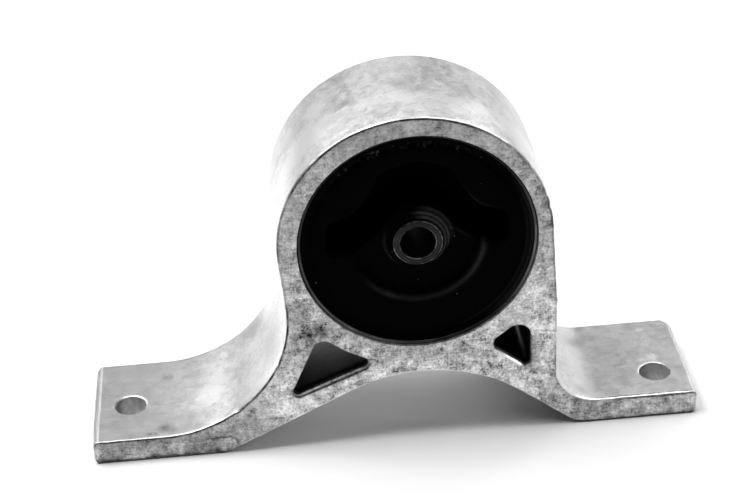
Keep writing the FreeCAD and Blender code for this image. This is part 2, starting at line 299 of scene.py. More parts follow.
# ------------------------------------------------------------------ the bracket casting
def build_casting():
    S = 0.95
    counts = counts_for(outline_prims(0.0), S)
    P0 = sample(outline_prims(0.0), counts)
    Pp = sample(outline_prims(DRAFT_PART), counts)
    Pb = sample(outline_prims(DRAFT_BACK), counts)
    N0, Np_, Nb = normals2(P0), normals2(Pp), normals2(Pb)
    n = len(P0)
    lab = np.concatenate([np.full(c, i) for i, c in enumerate(counts)])
    p3 = np.column_stack([P0[:, 0], np.full(n, Y_FRONT), P0[:, 1]])

    # the dressed front edge: a small uneven rounding, rougher along the right of the ring
    ang = np.degrees(np.arctan2(P0[:, 1], P0[:, 0]))
    rad = np.hypot(P0[:, 0], P0[:, 1])
    on_ring = (lab == 15)
    w_rough = np.where(on_ring, 0.35 + 0.65 * smooth01((70 - ang) / 30) * smooth01((ang + 5) / 10), 0.4)
    rf = 0.36 + 0.10 * nz(p3, 6.0, 1) + 0.16 * w_rough * nz(p3, 2.2, 2)
    under = np.isin(lab, (1, 2, 3, 4, 5, 6, 7))
    soft = np.where(lab == 4, smooth01((P0[:, 0] + 12) / 8) * 0.35 + 0.3, 1.0)
    soft = np.where((lab == 4) & (P0[:, 0] < -6), 0.75, soft)
    rf = np.where(under, rf + 0.62 * soft, rf)
    rf = np.where(np.isin(lab, (11, 12)), rf * 1.55, rf)
    rf = np.clip(rf, 0.2, 1.3)
    # even out the change from the underside's rounding to the crisp edges
    for _ in range(10):
        rf = 0.5 * rf + 0.25 * (np.roll(rf, 1) + np.roll(rf, -1))
    shift = (0.10 * nz(p3, 5.0, 3) + 0.22 * w_rough * nz(p3, 2.6, 4)) * np.where(Z_BOTTOM + 1.5 > P0[:, 1], 0.25, 1.0)
    # nicks seen on the ring's right edge and by the wall
    for (nx, nzz, dep, wid) in ((45.6, 10.6, 0.45, 1.3), (48.3, -27.2, -0.35, 1.6), (43.9, 15.2, 0.3, 1.0), (-52.0, -44.5, 0.35, 1.2), (-66.5, -62.6, 0.4, 1.0),
                                (39.6, 26.4, 0.35, 1.1), (-33.0, 35.3, 0.22, 1.2), (-62.5, -59.8, -0.25, 0.9)):
        shift += dep * np.exp(-(((P0[:, 0] - nx) ** 2 + (P0[:, 1] - nzz) ** 2) / wid ** 2))
    rb = np.clip(0.6 + 0.15 * nz(p3, 5.0, 5), 0.3, 1.0)
    # the tight corner of the short foot leaves room for small margins only
    tight = np.exp(-(((P0[:, 0] - X_RIGHT) ** 2 + (P0[:, 1] - Z_TOP) ** 2) / 9.0))
    rf = rf * (1 - tight) + 0.30 * tight
    rb = rb * (1 - tight) + 0.30 * tight
    shift = shift * (1 - tight)
    marg = 1 - 0.35 * tight

    def ring_at(y, kind, inset):
        """Points of the wall at depth y; kind 0 front part, 1 back part."""
        if kind == 0:
            t = np.clip((y - Y_FRONT) / (Y_PART - Y_FRONT), 0, 1)
            # a soft belly: steeper near the face, easing off towards the parting line
            t = np.sin(t * math.pi / 2) ** 0.9
            t = np.asarray(t).reshape(-1, 1) if not np.isscalar(t) else t
            P = P0 + (Pp - P0) * t
            N = N0
        else:
            t = np.clip((y - Y_PART) / (Y_BACK - Y_PART), 0, 1)
            t = np.asarray(t).reshape(-1, 1) if not np.isscalar(t) else t
            P = Pp + (Pb - Pp) * t
            N = Nb
        return P - N * np.asarray(inset).reshape(-1, 1)

    rows, meta = [], []

    def add(P, y, tag):
        yy = np.full(n, y) if np.isscalar(y) else y
        rows.append(np.column_stack([P[:, 0], yy, P[:, 1]]))
        meta.append(tag)

    # face margin rings, then the front edge
    for extra, tag in ((0.75, "f0"), (0.42, "f1"), (0.14, "f2")):
        add(P0 - N0 * (rf + shift + extra * marg)[:, None], Y_FRONT, tag)
    for a, tag in ((90, "e0"), (68, "e1"), (45, "e2"), (22, "e3"), (0, "e4")):
        ar = math.radians(a)
        y = Y_FRONT + rf * (1 - math.sin(ar))
        P = ring_at(y, 0, rf * (1 - math.cos(ar)) + shift * (1.0 if a > 30 else 0.8))
        add(P, y, tag)
    for k, dy in enumerate((0.5, 1.1, 2.0)):
        y = Y_FRONT + rf + dy
        add(ring_at(y, 0, shift * (0.55, 0.25, 0.0)[k]), y, "w")
    for y in np.linspace(Y_FRONT + 3.6, Y_PART - 0.9, 14):
        add(ring_at(float(y), 0, 0.0), float(y), "w")
    # parting line: a faint dressed flash ridge
    flash = np.clip(0.00 + 0.05 * nz(p3, 9.0, 6) + 0.03 * nz(p3, 3.0, 7), 0.0, 0.06)
    flash = np.where(np.isin(lab, (0, 1, 7, 8)), 0.0, flash)
    for dy, h in ((-0.35, 0.25), (-0.12, 1.0), (0.12, 1.0), (0.4, 0.2)):
        y = Y_PART + dy
        add(ring_at(y, 0 if dy < 0 else 1, -flash * h), y, "p")
    for y in np.linspace(Y_PART + 1.1, Y_BACK - 1.6, 20):
        add(ring_at(float(y), 1, 0.0), float(y), "w")
    for a, tag in ((0, "b"), (24, "b"), (45, "b"), (66, "b"), (90, "b")):
        ar = math.radians(a)
        y = Y_BACK - rb * (1 - math.sin(ar))
        add(ring_at(y, 1, rb * (1 - math.cos(ar))), y, tag)
    add(Pb - Nb * (rb + 0.7 * marg)[:, None], Y_BACK, "g")

    verts = [r for r in rows]
    faces = []
    nr = len(rows)
    for r in range(nr - 1):
        a0, b0 = r * n, (r + 1) * n
        for i in range(n):
            j = (i + 1) % n
            faces.append((a0 + i, a0 + j, b0 + j, b0 + i))
    base = nr * n
    rowtag = [t for t in meta for _ in range(n)]
    line_attr = np.zeros(base)
    shine_attr = np.zeros(base)
    # front edge rows: a dark line on the outer ones, a bright edge on the rounding; the bright edge is partly burnished
    # metal and partly a painted highlight
    for r, t in enumerate(meta):
        if t in ("f2", "e0", "f1"):
            line_attr[r * n:(r + 1) * n] = 0.85 if t == "f1" else 1.0
        if t == "e1":
            line_attr[r * n:(r + 1) * n] = 1.0
        if t == "e2":
            line_attr[r * n:(r + 1) * n] = 0.45
        if t in ("e3", "e4"):
            shine_attr[r * n:(r + 1) * n] = 1.0
        if t == "e2":
            shine_attr[r * n:(r + 1) * n] = 0.35
    # where the dark edge line shows: strong along the sweep and over the ring, faint on the right
    lw = np.full(n, 0.25)
    lw[on_ring] = np.where(ang[on_ring] > 0, 0.35 + 0.65 * smooth01((ang[on_ring] - 48) / 25) + 0.4 * smooth01((26 - ang[on_ring]) / 12), 1.0)
    lw[on_ring & (ang < -150)] = 0.8
    lw[on_ring & (ang > 150)] = 0.55
    lw[lab == 16] = 0.35
    lw[lab == 17] = 1.0
    lw[lab == 18] = 0.95
    lw[np.isin(lab, (19,))] = 0.6
    lw[lab == 12] = 0.22
    lw[lab == 11] = (0.22 + 0.70 * smooth01((P0[:, 0] - 66) / 10))[lab == 11]
    lw[np.isin(lab, (13, 14))] = 0.35
    lw[np.isin(lab, (0, 1, 2, 3, 4, 5, 6, 7, 8))] = 0.0
    lw *= np.clip(0.85 + 0.5 * nz(p3, 4.0, 8) + 0.3 * nz(p3, 1.3, 9), 0, 1)
    line_attr *= np.tile(lw, nr)
    sw = np.full(n, 0.6)
    sw[np.isin(lab, (0, 1, 2, 3, 4, 5, 6, 7, 8))] = 0.15
    sw[np.isin(lab, (11, 12))] = 1.0
    sw[lab == 15] = 0.9
    shine_attr *= np.tile(sw, nr)
    # a painted highlight just behind the front edge of the short foot's top and its fillet
    for r, t in enumerate(meta):
        if t == "w" and rows[r][0, 1] < Y_FRONT + 1.2:
            shine_attr[r * n:(r + 1) * n] = np.where(np.isin(lab, (11, 12)), 0.75, 0.0)
    front_loop = np.arange(0, n)
    back_loop = np.arange((nr - 1) * n, nr * n)

    # ---------------- bore
    nb = 300
    th = np.linspace(0, 2 * math.pi, nb, endpoint=False)
    ring3 = np.column_stack([np.cos(th) * BORE_R, np.full(nb, Y_FRONT), np.sin(th) * BORE_R])
    cb = np.clip(0.13 + 0.05 * nz(ring3, 4.0, 11) + 0.05 * nz(ring3, 1.6, 12), 0.07, 0.35)
    bore_rows = []
    for a in (None, 90, 60, 30, 0):
        if a is None:
            R, y = BORE_R + cb + 0.5, np.full(nb, Y_FRONT)
        else:
            ar = math.radians(a)
            R, y = BORE_R + cb * (1 - math.cos(ar)), Y_FRONT + cb * (1 - math.sin(ar))
        bore_rows.append((R, y))
    for y in (-20.0, -8.0, 8.0, 20.0):
        bore_rows.append((np.full(nb, BORE_R), np.full(nb, y)))
    for a in (0, 30, 60, 90, None):
        if a is None:
            R, y = BORE_R + cb + 0.5, np.full(nb, Y_BACK)
        else:
            ar = math.radians(a)
            R, y = BORE_R + cb * (1 - math.cos(ar)), Y_BACK - cb * (1 - math.sin(ar))
        bore_rows.append((R, y))
    bstart = base
    for R, y in bore_rows:
        verts.append(np.column_stack([np.cos(th) * R, y, np.sin(th) * R]))
    for r in range(len(bore_rows) - 1):
        a0, b0 = bstart + r * nb, bstart + (r + 1) * nb
        for i in range(nb):
            j = (i + 1) % nb
            faces.append((a0 + i, b0 + i, b0 + j, a0 + j))
    bore_front = np.arange(bstart, bstart + nb)
    bore_back = np.arange(bstart + (len(bore_rows) - 1) * nb, bstart + len(bore_rows) * nb)
    base = bstart + len(bore_rows) * nb
    deg = np.degrees(th)
    deg = np.where(deg > 180, deg - 360, deg)
    open_ = np.exp(-((deg + 128) / 30) ** 2) + np.exp(-((deg + 20) / 34) ** 2)
    bl = np.clip(0.95 - 0.75 * open_, 0, 1) * np.clip(0.9 + 0.5 * nz(ring3, 2.0, 14), 0, 1)
    el = np.zeros(len(bore_rows) * nb)
    for k, q in ((0, 0.0), (1, 0.12), (2, 0.55), (3, 1.0), (4, 1.0), (5, 1.0)):
        el[k * nb:(k + 1) * nb] = q * bl
    extra_line = [el]
    extra_shine = [np.zeros(len(bore_rows) * nb)]

    # ---------------- windows
    specs = [
        (window_prims((-48.05, -60.05), (-13.2, -45.95), (-34.6, -31.1), 1.8, 2.3, 4.0, WINDOW_RING_R[0]), "left"),
        (window_prims((38.95, -55.9), (38.9, -28.4), (22.0, -42.3), 1.6, 4.6, 3.5, WINDOW_RING_R[1]), "right"),
    ]
    win_front, win_back, lip_ids, window_shade_parts = [], [], [], []
    win_lo = base
    for prims, side in specs:
        c = counts_for(prims, 0.75, 7)
        W = sample(prims, c)
        NW = normals2(W)   # outward of the window, into the metal
        m = len(W)
        wl = np.concatenate([np.full(k, i) for i, k in enumerate(c)])
        w = np.full(m, 0.13)
        L = np.full(m, 0.2)
        if side == "left":
            core = (wl == 1)
            t = np.zeros(m); t[core] = 1.0
            t[wl == 0] = np.linspace(0.1, 1.0, (wl == 0).sum())
            t[wl == 2] = np.linspace(1.0, 0.0, (wl == 2).sum())
            w += t * 0.95
            L += t * 1.0
        else:
            t = np.zeros(m)
            # lower side: narrow where it leaves the left corner; outer side: a broad soft bevel
            t[wl == 5] = smooth01(np.linspace(0.16, 1.9, (wl == 5).sum())) * 0.60
            t[wl == 0] = np.linspace(0.8, 1.7, (wl == 0).sum())
            z = W[:, 1]
            r = (wl == 1)
            t[r] = 1.9 * smooth01((-37.0 - z[r]) / 5.0)
            t[wl == 2] = 0.0
            w += t * 0.72
            L += t * 0.62
            L[wl == 5] = 1.33 * w[wl == 5]
        w *= 1 + 0.18 * nz(np.column_stack([W[:, 0], np.zeros(m), W[:, 1]]), 2.5, 13)
        st = []
        st.append((w + 0.45, np.full(m, Y_FRONT)))
        for a in (90, 68, 45, 22, 0):
            ar = math.radians(a)
            gg, yd = w * (1 - math.cos(ar)), L * (1 - math.sin(ar))
            if side == "right":
                sx = {90: 0.0, 68: 0.06, 45: 0.5, 22: 0.94, 0: 1.0}[a]
                gg = np.where(wl == 5, w * (1 - sx), gg)
                yd = np.where(wl == 5, L * sx, yd)
            st.append((gg, Y_FRONT + yd))
        for y in np.linspace(Y_FRONT + 3.0, Y_BACK - 3.0, 18):
            dr = -0.25 * (1 - abs(y - Y_PART) / 28.5)
            st.append((np.full(m, dr), np.full(m, y)))
        for a in (0, 30, 60, 90):
            ar = math.radians(a)
            st.append((w * (1 - math.cos(ar)), Y_BACK - L * (1 - math.sin(ar))))
        st.append((w + 0.45, np.full(m, Y_BACK)))
        s0 = base
        for g, y in st:
            Q = W + NW * g[:, None]
            verts.append(np.column_stack([Q[:, 0], y, Q[:, 1]]))
        for r in range(len(st) - 1):
            a0, b0 = s0 + r * m, s0 + (r + 1) * m
            for i in range(m):
                j = (i + 1) % m
                faces.append((a0 + i, b0 + i, b0 + j, a0 + j))
        lip_ids.append(np.arange(s0, s0 + 6 * m))
        # painted shade on the window walls, darker low down in the left window; the crease term leaves a lighter
        # painted streak along the right window's lower corner
        dk = np.zeros((len(st), m))
        for k, (g, y) in enumerate(st):
            d = (y[0] - Y_FRONT) / (Y_BACK - Y_FRONT)
            inn = np.clip((y[0] - Y_FRONT - 0.9) / 0.8, 0, 1)
            if side == "left":
                low = smooth01((-40.0 - W[:, 1]) / 14.0)
                dk[k] = inn * (0.90 - 0.66 * d ** 0.7 + 0.12 * low * (1 - d))
            else:
                crease = np.exp(-(((W[:, 0] - 38.6) ** 2 + (W[:, 1] + 54.6) ** 2) / 1.6 ** 2))
                dk[k] = inn * (0.985 - 0.75 * crease * smooth01((d - 0.06) / 0.35))
            dk[k] *= smooth01((1.0 - d) / 0.30)
        window_shade_parts.append((s0, dk.reshape(-1)))
        win_front.append(np.arange(s0, s0 + m))
        win_back.append(np.arange(s0 + (len(st) - 1) * m, s0 + len(st) * m))
        el = np.zeros(len(st) * m)
        es = np.zeros(len(st) * m)
        tt = np.clip(t, 0, 1)
        if side == "left":
            # a rolled grey edge between two dark lines
            up = 1 - tt
            for k, q, u in ((0, 0.20, 0.0), (1, 0.95, 0.25), (2, 0.90, 0.5), (3, 0.30, 0.5), (4, 0.15, 0.6), (5, 0.92, 0.7), (6, 1.0, 0.6)):
                el[k * m:(k + 1) * m] = q * tt + u * up
        else:
            # the lower side's lip is painted bright: a painted highlight
            b = (wl == 5)
            for k, q in ((1, 0.6), (2, 1.0), (3, 1.0), (4, 1.0)):
                es[k * m:(k + 1) * m][b] = q * np.clip(tt[b] * 1.5, 0, 1)
            r = (wl == 1) | (wl == 0)
            for k, q in ((0, 0.22), (1, 0.34), (2, 0.20), (3, 0.20), (4, 0.30), (5, 0.7), (6, 0.9)):
                el[k * m:(k + 1) * m][r] = q * tt[r]
            u = ~(b | r)
            for k, q in ((1, 0.25), (2, 0.5), (3, 0.5), (4, 0.6), (5, 0.8), (6, 0.6)):
                el[k * m:(k + 1) * m][u] = q
        extra_line.append(el)
        extra_shine.append(es)
        base = s0 + len(st) * m
    win_hi = base
    allv = np.concatenate(verts)
    ground = np.zeros(len(allv))

    # ---------------- front and back faces, triangulated with inner points
    def face_fill(outer, holes, y, step, seed, extra_pts=None):
        nonlocal allv, ground
        op = allv[outer][:, [0, 2]]
        hp = [allv[h][:, [0, 2]] for h in holes]
        x0, z0 = op.min(0)
        x1, z1 = op.max(0)
        gx, gz = np.arange(x0, x1, step), np.arange(z0, z1, step * 0.866)
        G = np.array([(x + (step / 2 if k % 2 else 0), z) for k, z in enumerate(gz) for x in gx])
        rng = np.random.default_rng(seed)
        G = G + rng.uniform(-0.16, 0.16, G.shape) * step
        if extra_pts is not None:
            keepg = dist_to(G, extra_pts) > 0.5
            G = np.concatenate([G[keepg], extra_pts])
        ok = inside(G, op)
        for h in hp:
            ok &= ~inside(G, h)
        G = G[ok]
        far = dist_to(G, np.concatenate([op] + hp)) > 0.42
        G = G[far]
        loops = [outer] + holes
        ids = np.concatenate(loops)
        pts = np.concatenate([allv[ids][:, [0, 2]], G])
        edges = []
        k = 0
        for l in loops:
            edges += [(k + i, k + (i + 1) % len(l)) for i in range(len(l))]
            k += len(l)
        res = delaunay_2d_cdt([Vector((float(p[0]), float(p[1]))) for p in pts], edges, [], 0, 1e-5)
        ov, of, orig = res[0], res[2], res[3]
        inp = [o[0] if len(o) else -1 for o in orig]
        assert min(inp) >= 0
        cen = np.array([np.mean([ov[i] for i in f], axis=0) for f in of])
        good = inside(cen, op)
        for h in hp:
            good &= ~inside(cen, h)
        new_ids = np.concatenate([ids, len(allv) + np.arange(len(G))])
        allv = np.concatenate([allv, np.column_stack([G[:, 0], np.full(len(G), y), G[:, 1]])])
        ground = np.concatenate([ground, np.ones(len(G))])
        out = [tuple(int(new_ids[inp[i]]) for i in f) for f, g in zip(of, good) if g]
        return out

    # outline of the shallow relief on the long foot, as two close rows of points
    rel = []
    for off in (-0.16, 0.16):
        zt, xe, r = STEP_TOP + off, STEP_END + off, 2.6 + off
        xs = np.arange(-118.0, xe - r, 0.7)
        rel += [(x, zt) for x in xs]
        for a in np.linspace(90, 0, 9):
            rel.append((xe - r + r * math.cos(math.radians(a)), zt - r + r * math.sin(math.radians(a))))
        for z in np.arange(zt - r - 0.6, -81, -0.7):
            rel.append((xe, z))
    rel = np.array(rel)
    faces += face_fill(front_loop, [bore_front] + win_front, Y_FRONT, 1.15, 21, rel)
    faces += face_fill(back_loop, [bore_back] + win_back, Y_BACK, 1.9, 22)

    # face mask
    tagw = {"f0": 1.0, "f1": 1.0, "f2": 1.0, "e0": 0.9, "e1": 0.6, "e2": 0.3, "e3": 0.1, "g": 1.0}
    gr = np.concatenate([np.full(n, tagw.get(t, 0.0)) for t in meta])
    ground[:len(gr)] = gr
    ground[bore_front[0]:bore_front[0] + 5 * nb] = 1.0
    ground[bore_back] = 1.0
    for h in lip_ids:
        ground[h] = 1.0
    for h in win_front + win_back:
        ground[h] = 1.0
    line = np.zeros(len(allv))
    shine = np.zeros(len(allv))
    line[:len(line_attr)] = line_attr
    shine[:len(shine_attr)] = shine_attr
    k = len(line_attr)
    for el, es in zip(extra_line, extra_shine):
        line[k:k + len(el)] = el
        shine[k:k + len(es)] = es
        k += len(el)

    # ---------------- shallow relief, corners in plan, gentle casting unevenness
    x, y, z = allv[:, 0].copy(), allv[:, 1].copy(), allv[:, 2].copy()
    r = 2.6
    xe, zt = STEP_END, STEP_TOP
    cx, cz_ = xe - r, zt - r
    dd = np.where((x > cx) & (z > cz_), np.hypot(x - cx, z - cz_) - r, np.maximum(x - xe, z - zt))
    ins = smooth01((0.16 - dd) / 0.32)
    fade = np.clip(1 - (y - Y_FRONT) / 1.6, 0, 1)
    allv[:, 1] += STEP_DEPTH * ins * fade
    # plan corners of the feet: pull the end vertices in
    for xx, yy, sx, sy, rr in ((X_RIGHT, Y_BACK, 1, 1, CORNER_BACK_R), (X_RIGHT, Y_FRONT, 1, -1, CORNER_R),
                               (X_LEFT, Y_BACK, -1, 1, CORNER_BACK_L), (X_LEFT, Y_FRONT, -1, -1, CORNER_R)):
        near = (np.abs(allv[:, 0] - xx) < rr + 1.2) & (np.abs(allv[:, 1] - yy) < rr + 1e-6)
        t = rr - np.abs(allv[near, 1] - yy)          # 0 at the tangent line, rr at the face
        t = np.clip(t, 0, rr)
        pull = rr - np.sqrt(np.maximum(rr * rr - t * t, 0))
        u = np.clip((sx * (allv[near, 0] - xx) + rr + 1.0) / (rr + 1.0), 0, 1)
        allv[near, 0] -= sx * pull * u
    # painted shade on the walls of the windows: darkest just inside the lip, fading to nothing at the back
    window_shade = np.zeros(len(allv))
    for s0, dk in window_shade_parts:
        window_shade[s0:s0 + len(dk)] = dk
    attrs = {"ground": ground, "line": np.clip(line, 0, 1), "shine": np.clip(shine, 0, 1), "window_shade": window_shade}
    ob = new_object("bracket_casting", allv, faces, attrs)
    recalc(ob)
    me = ob.data
    co = get_co(me)
    nor = get_nor(me)
    g = np.clip(ground, 0, 1)
    bottom = co[:, 2] < Z_BOTTOM + 0.02
    amp = np.where(g > 0.5, 0.035, 0.075)
    dsp = amp * nz(co, 9.0, 31) + amp * 0.5 * nz(co, 3.1, 32)
    bore_v = np.hypot(co[:, 0], co[:, 2]) < BORE_R + 0.05
    dsp[bore_v] = 0
    dsp[bottom] = 0
    # keep inside the CAD box
    co2 = co + nor * dsp[:, None]
    co2[:, 1] = np.clip(co2[:, 1], Y_FRONT, Y_BACK)
    co2[:, 2] = np.maximum(co2[:, 2], Z_BOTTOM)
    co2[:, 0] = np.clip(co2[:, 0], X_LEFT - 0.3, X_RIGHT + 0.3)
    set_co(me, co2)
    return ob


def lathe(name, prof, seg=160, closed=True):
    """Solid of revolution about the Y axis from (radius, y) points in millimetres, closed loop."""
    prof = np.array(prof, float)
    m = len(prof)
    th = np.linspace(0, 2 * math.pi, seg, endpoint=False)
    verts = np.concatenate([np.column_stack([prof[:, 0] * math.cos(t), prof[:, 1], prof[:, 0] * math.sin(t)]) for t in th])
    faces = []
    for i in range(seg):
        j = (i + 1) % seg
        for k in range(m if closed else m - 1):
            l = (k + 1) % m
            faces.append((i * m + k, i * m + l, j * m + l, j * m + k))
    ob = new_object(name, verts, faces)
    recalc(ob)
    return ob


def z_lathe(prof, cx, cy, seg=96):
    """Closed solid of revolution about a vertical axis, with end discs, from (radius, z) points."""
    prof = np.array(prof, float)
    m = len(prof)
    th = np.linspace(0, 2 * math.pi, seg, endpoint=False)
    verts = [np.column_stack([cx + prof[:, 0] * math.cos(t), cy + prof[:, 0] * math.sin(t), prof[:, 1]]) for t in th]
    verts = np.concatenate(verts)
    faces = []
    for i in range(seg):
        j = (i + 1) % seg
        for k in range(m - 1):
            faces.append((i * m + k, j * m + k, j * m + k + 1, i * m + k + 1))
    faces.append(tuple(i * m for i in range(seg))[::-1])
    faces.append(tuple(i * m + m - 1 for i in range(seg)))
    ob = new_object("cutter", verts, faces)
    recalc(ob)
    return ob


def cut(ob, cutter, solver="EXACT"):
    m = ob.modifiers.new("cut", "BOOLEAN")
    m.operation = "DIFFERENCE"
    m.object = cutter
    m.solver = solver
    apply_mods(ob)
    bpy.data.objects.remove(cutter)


def hole_cutter(x, y):
    br = HOLE_BREAK
    zs = []
    for a in np.linspace(0, 90, 7):
        ar = math.radians(a)
        zs.append((HOLE_R + br * (1 - math.cos(ar)), Z_TOP - br + br * math.sin(ar)))
    top = [(r, z) for r, z in zs] + [(HOLE_R + br + 0.0, Z_TOP + 4)]
    bot = [(HOLE_R + 0.4, Z_BOTTOM - 4), (HOLE_R + 0.4, Z_BOTTOM), (HOLE_R, Z_BOTTOM + 0.4)]
    return z_lathe(bot + top, x, y)


def finish_mesh(ob, angle=38):
    me = ob.data
    me.polygons.foreach_set("use_smooth", np.ones(len(me.polygons), bool))
    me.set_sharp_from_angle(angle=math.radians(angle))
    me.update()


casting = build_casting()
# the crown of the drum is drawn down by a few hundredths, so that it stays under the CAD model's top
_co = get_co(casting.data)
_co[:, 2] = np.where(_co[:, 2] > 45.0, 45.0 + (_co[:, 2] - 45.0) * (3.955 / 4.0175), _co[:, 2])
set_co(casting.data, _co)
for hx, hy in (HOLE_LEFT, HOLE_RIGHT):
    cut(casting, hole_cutter(hx, hy))
finish_mesh(casting, 40)
print("casting faces", len(casting.data.polygons))


# ------------------------------------------------------------------ the bush: rubber, sleeve, tube
RUBBER_HALF = ((8.65, 1.7), (9.45, 1.7), (9.75, 2.5), (10.75, 2.7), (11.15, 3.6), (12.4, 3.8), (13.3, 5.0),
               (20.0, 5.0), (21.3, 4.2), (22.4, 2.6), (23.7, 2.0), (35.6, 2.0), (37.2, 2.9), (38.8, 2.6), (40.3, 1.4))
POCKET = ((31.4, -3.4, 3.4), (31.2, 9.2, 3.6), (21.6, 12.2, 9.0), (15.9, 19.2, 5.0), (12.2, 27.6, 6.0), (0.0, 31.4, 14.0),
          (-12.2, 27.6, 6.0), (-15.9, 19.2, 5.0), (-21.6, 12.2, 9.0), (-31.2, 9.2, 3.6), (-31.4, -3.4, 3.4),
          (-21.8, -3.4, 3.0))
POCKET_DEPTH = 20.0


def chaikin(P, times=2, closed=False):
    P = np.array(P, float)
    for _ in range(times):
        A, B = (P, np.roll(P, -1, 0)) if closed else (P[:-1], P[1:])
        Q = np.stack([0.78 * A + 0.22 * B, 0.22 * A + 0.78 * B], 1).reshape(-1, 2)
        P = Q if closed else np.vstack([P[:1], Q, P[-1:]])
    return P


DEPTH_CURVE = chaikin(RUBBER_HALF, 2)


def rubber_depth(r):
    return np.interp(r, DEPTH_CURVE[:, 0], DEPTH_CURVE[:, 1])


def pocket_loop(step=0.8):
    """Arched pocket over the hub: its lower side follows the hub between two points on it."""
    pts = list(POCKET)
    # the two places where the lower corners meet the hub
    out = []
    n = len(pts)
    poly = []
    hub_r = (HUB_R * math.cos(math.radians(12)), HUB_R * math.sin(math.radians(12)))
    chain = [(hub_r[0], hub_r[1], 0), (21.8, -3.4, 3.0)] + pts[:11] + [(-21.8, -3.4, 3.0), (-hub_r[0], hub_r[1], 0)]
    for i in range(1, len(chain) - 1):
        p, c, q = chain[i - 1], chain[i], chain[i + 1]
        a, m, b = fillet_corner(p[:2], c[:2], q[:2], c[2])
        poly.append(("A", a, m, b))
    # small corners where the sides run into the hub
    prims = []
    start = (hub_r[0], hub_r[1])
    prev = start
    for pr in poly:
        if math.hypot(pr[1][0] - prev[0], pr[1][1] - prev[1]) > 1e-6:
            prims.append(("L", prev, pr[1]))
        prims.append(pr)
        prev = pr[3]
    end = (-hub_r[0], hub_r[1])
    prims.append(("L", prev, end))
    prims.append(("A", end, (0.0, HUB_R), start))
    counts = [max(2, int(round(prim_len(p) / step))) for p in prims]
    P = sample(prims, counts)
    # ease the corners at the hub
    w = np.zeros(len(P))
    for q in (start, end):
        w = np.maximum(w, np.clip(1.6 - np.hypot(P[:, 0] - q[0], P[:, 1] - q[1]) / 3.2, 0, 1))
    for k in range(26):
        Q = 0.5 * P + 0.25 * (np.roll(P, 1, 0) + np.roll(P, -1, 0))
        P = P + (Q - P) * (w[:, None] if k > 1 else 1.0)
    area = 0.5 * np.sum(P[:, 0] * np.roll(P[:, 1], -1) - P[:, 1] * np.roll(P[:, 0], -1))
    return P if area > 0 else P[::-1]


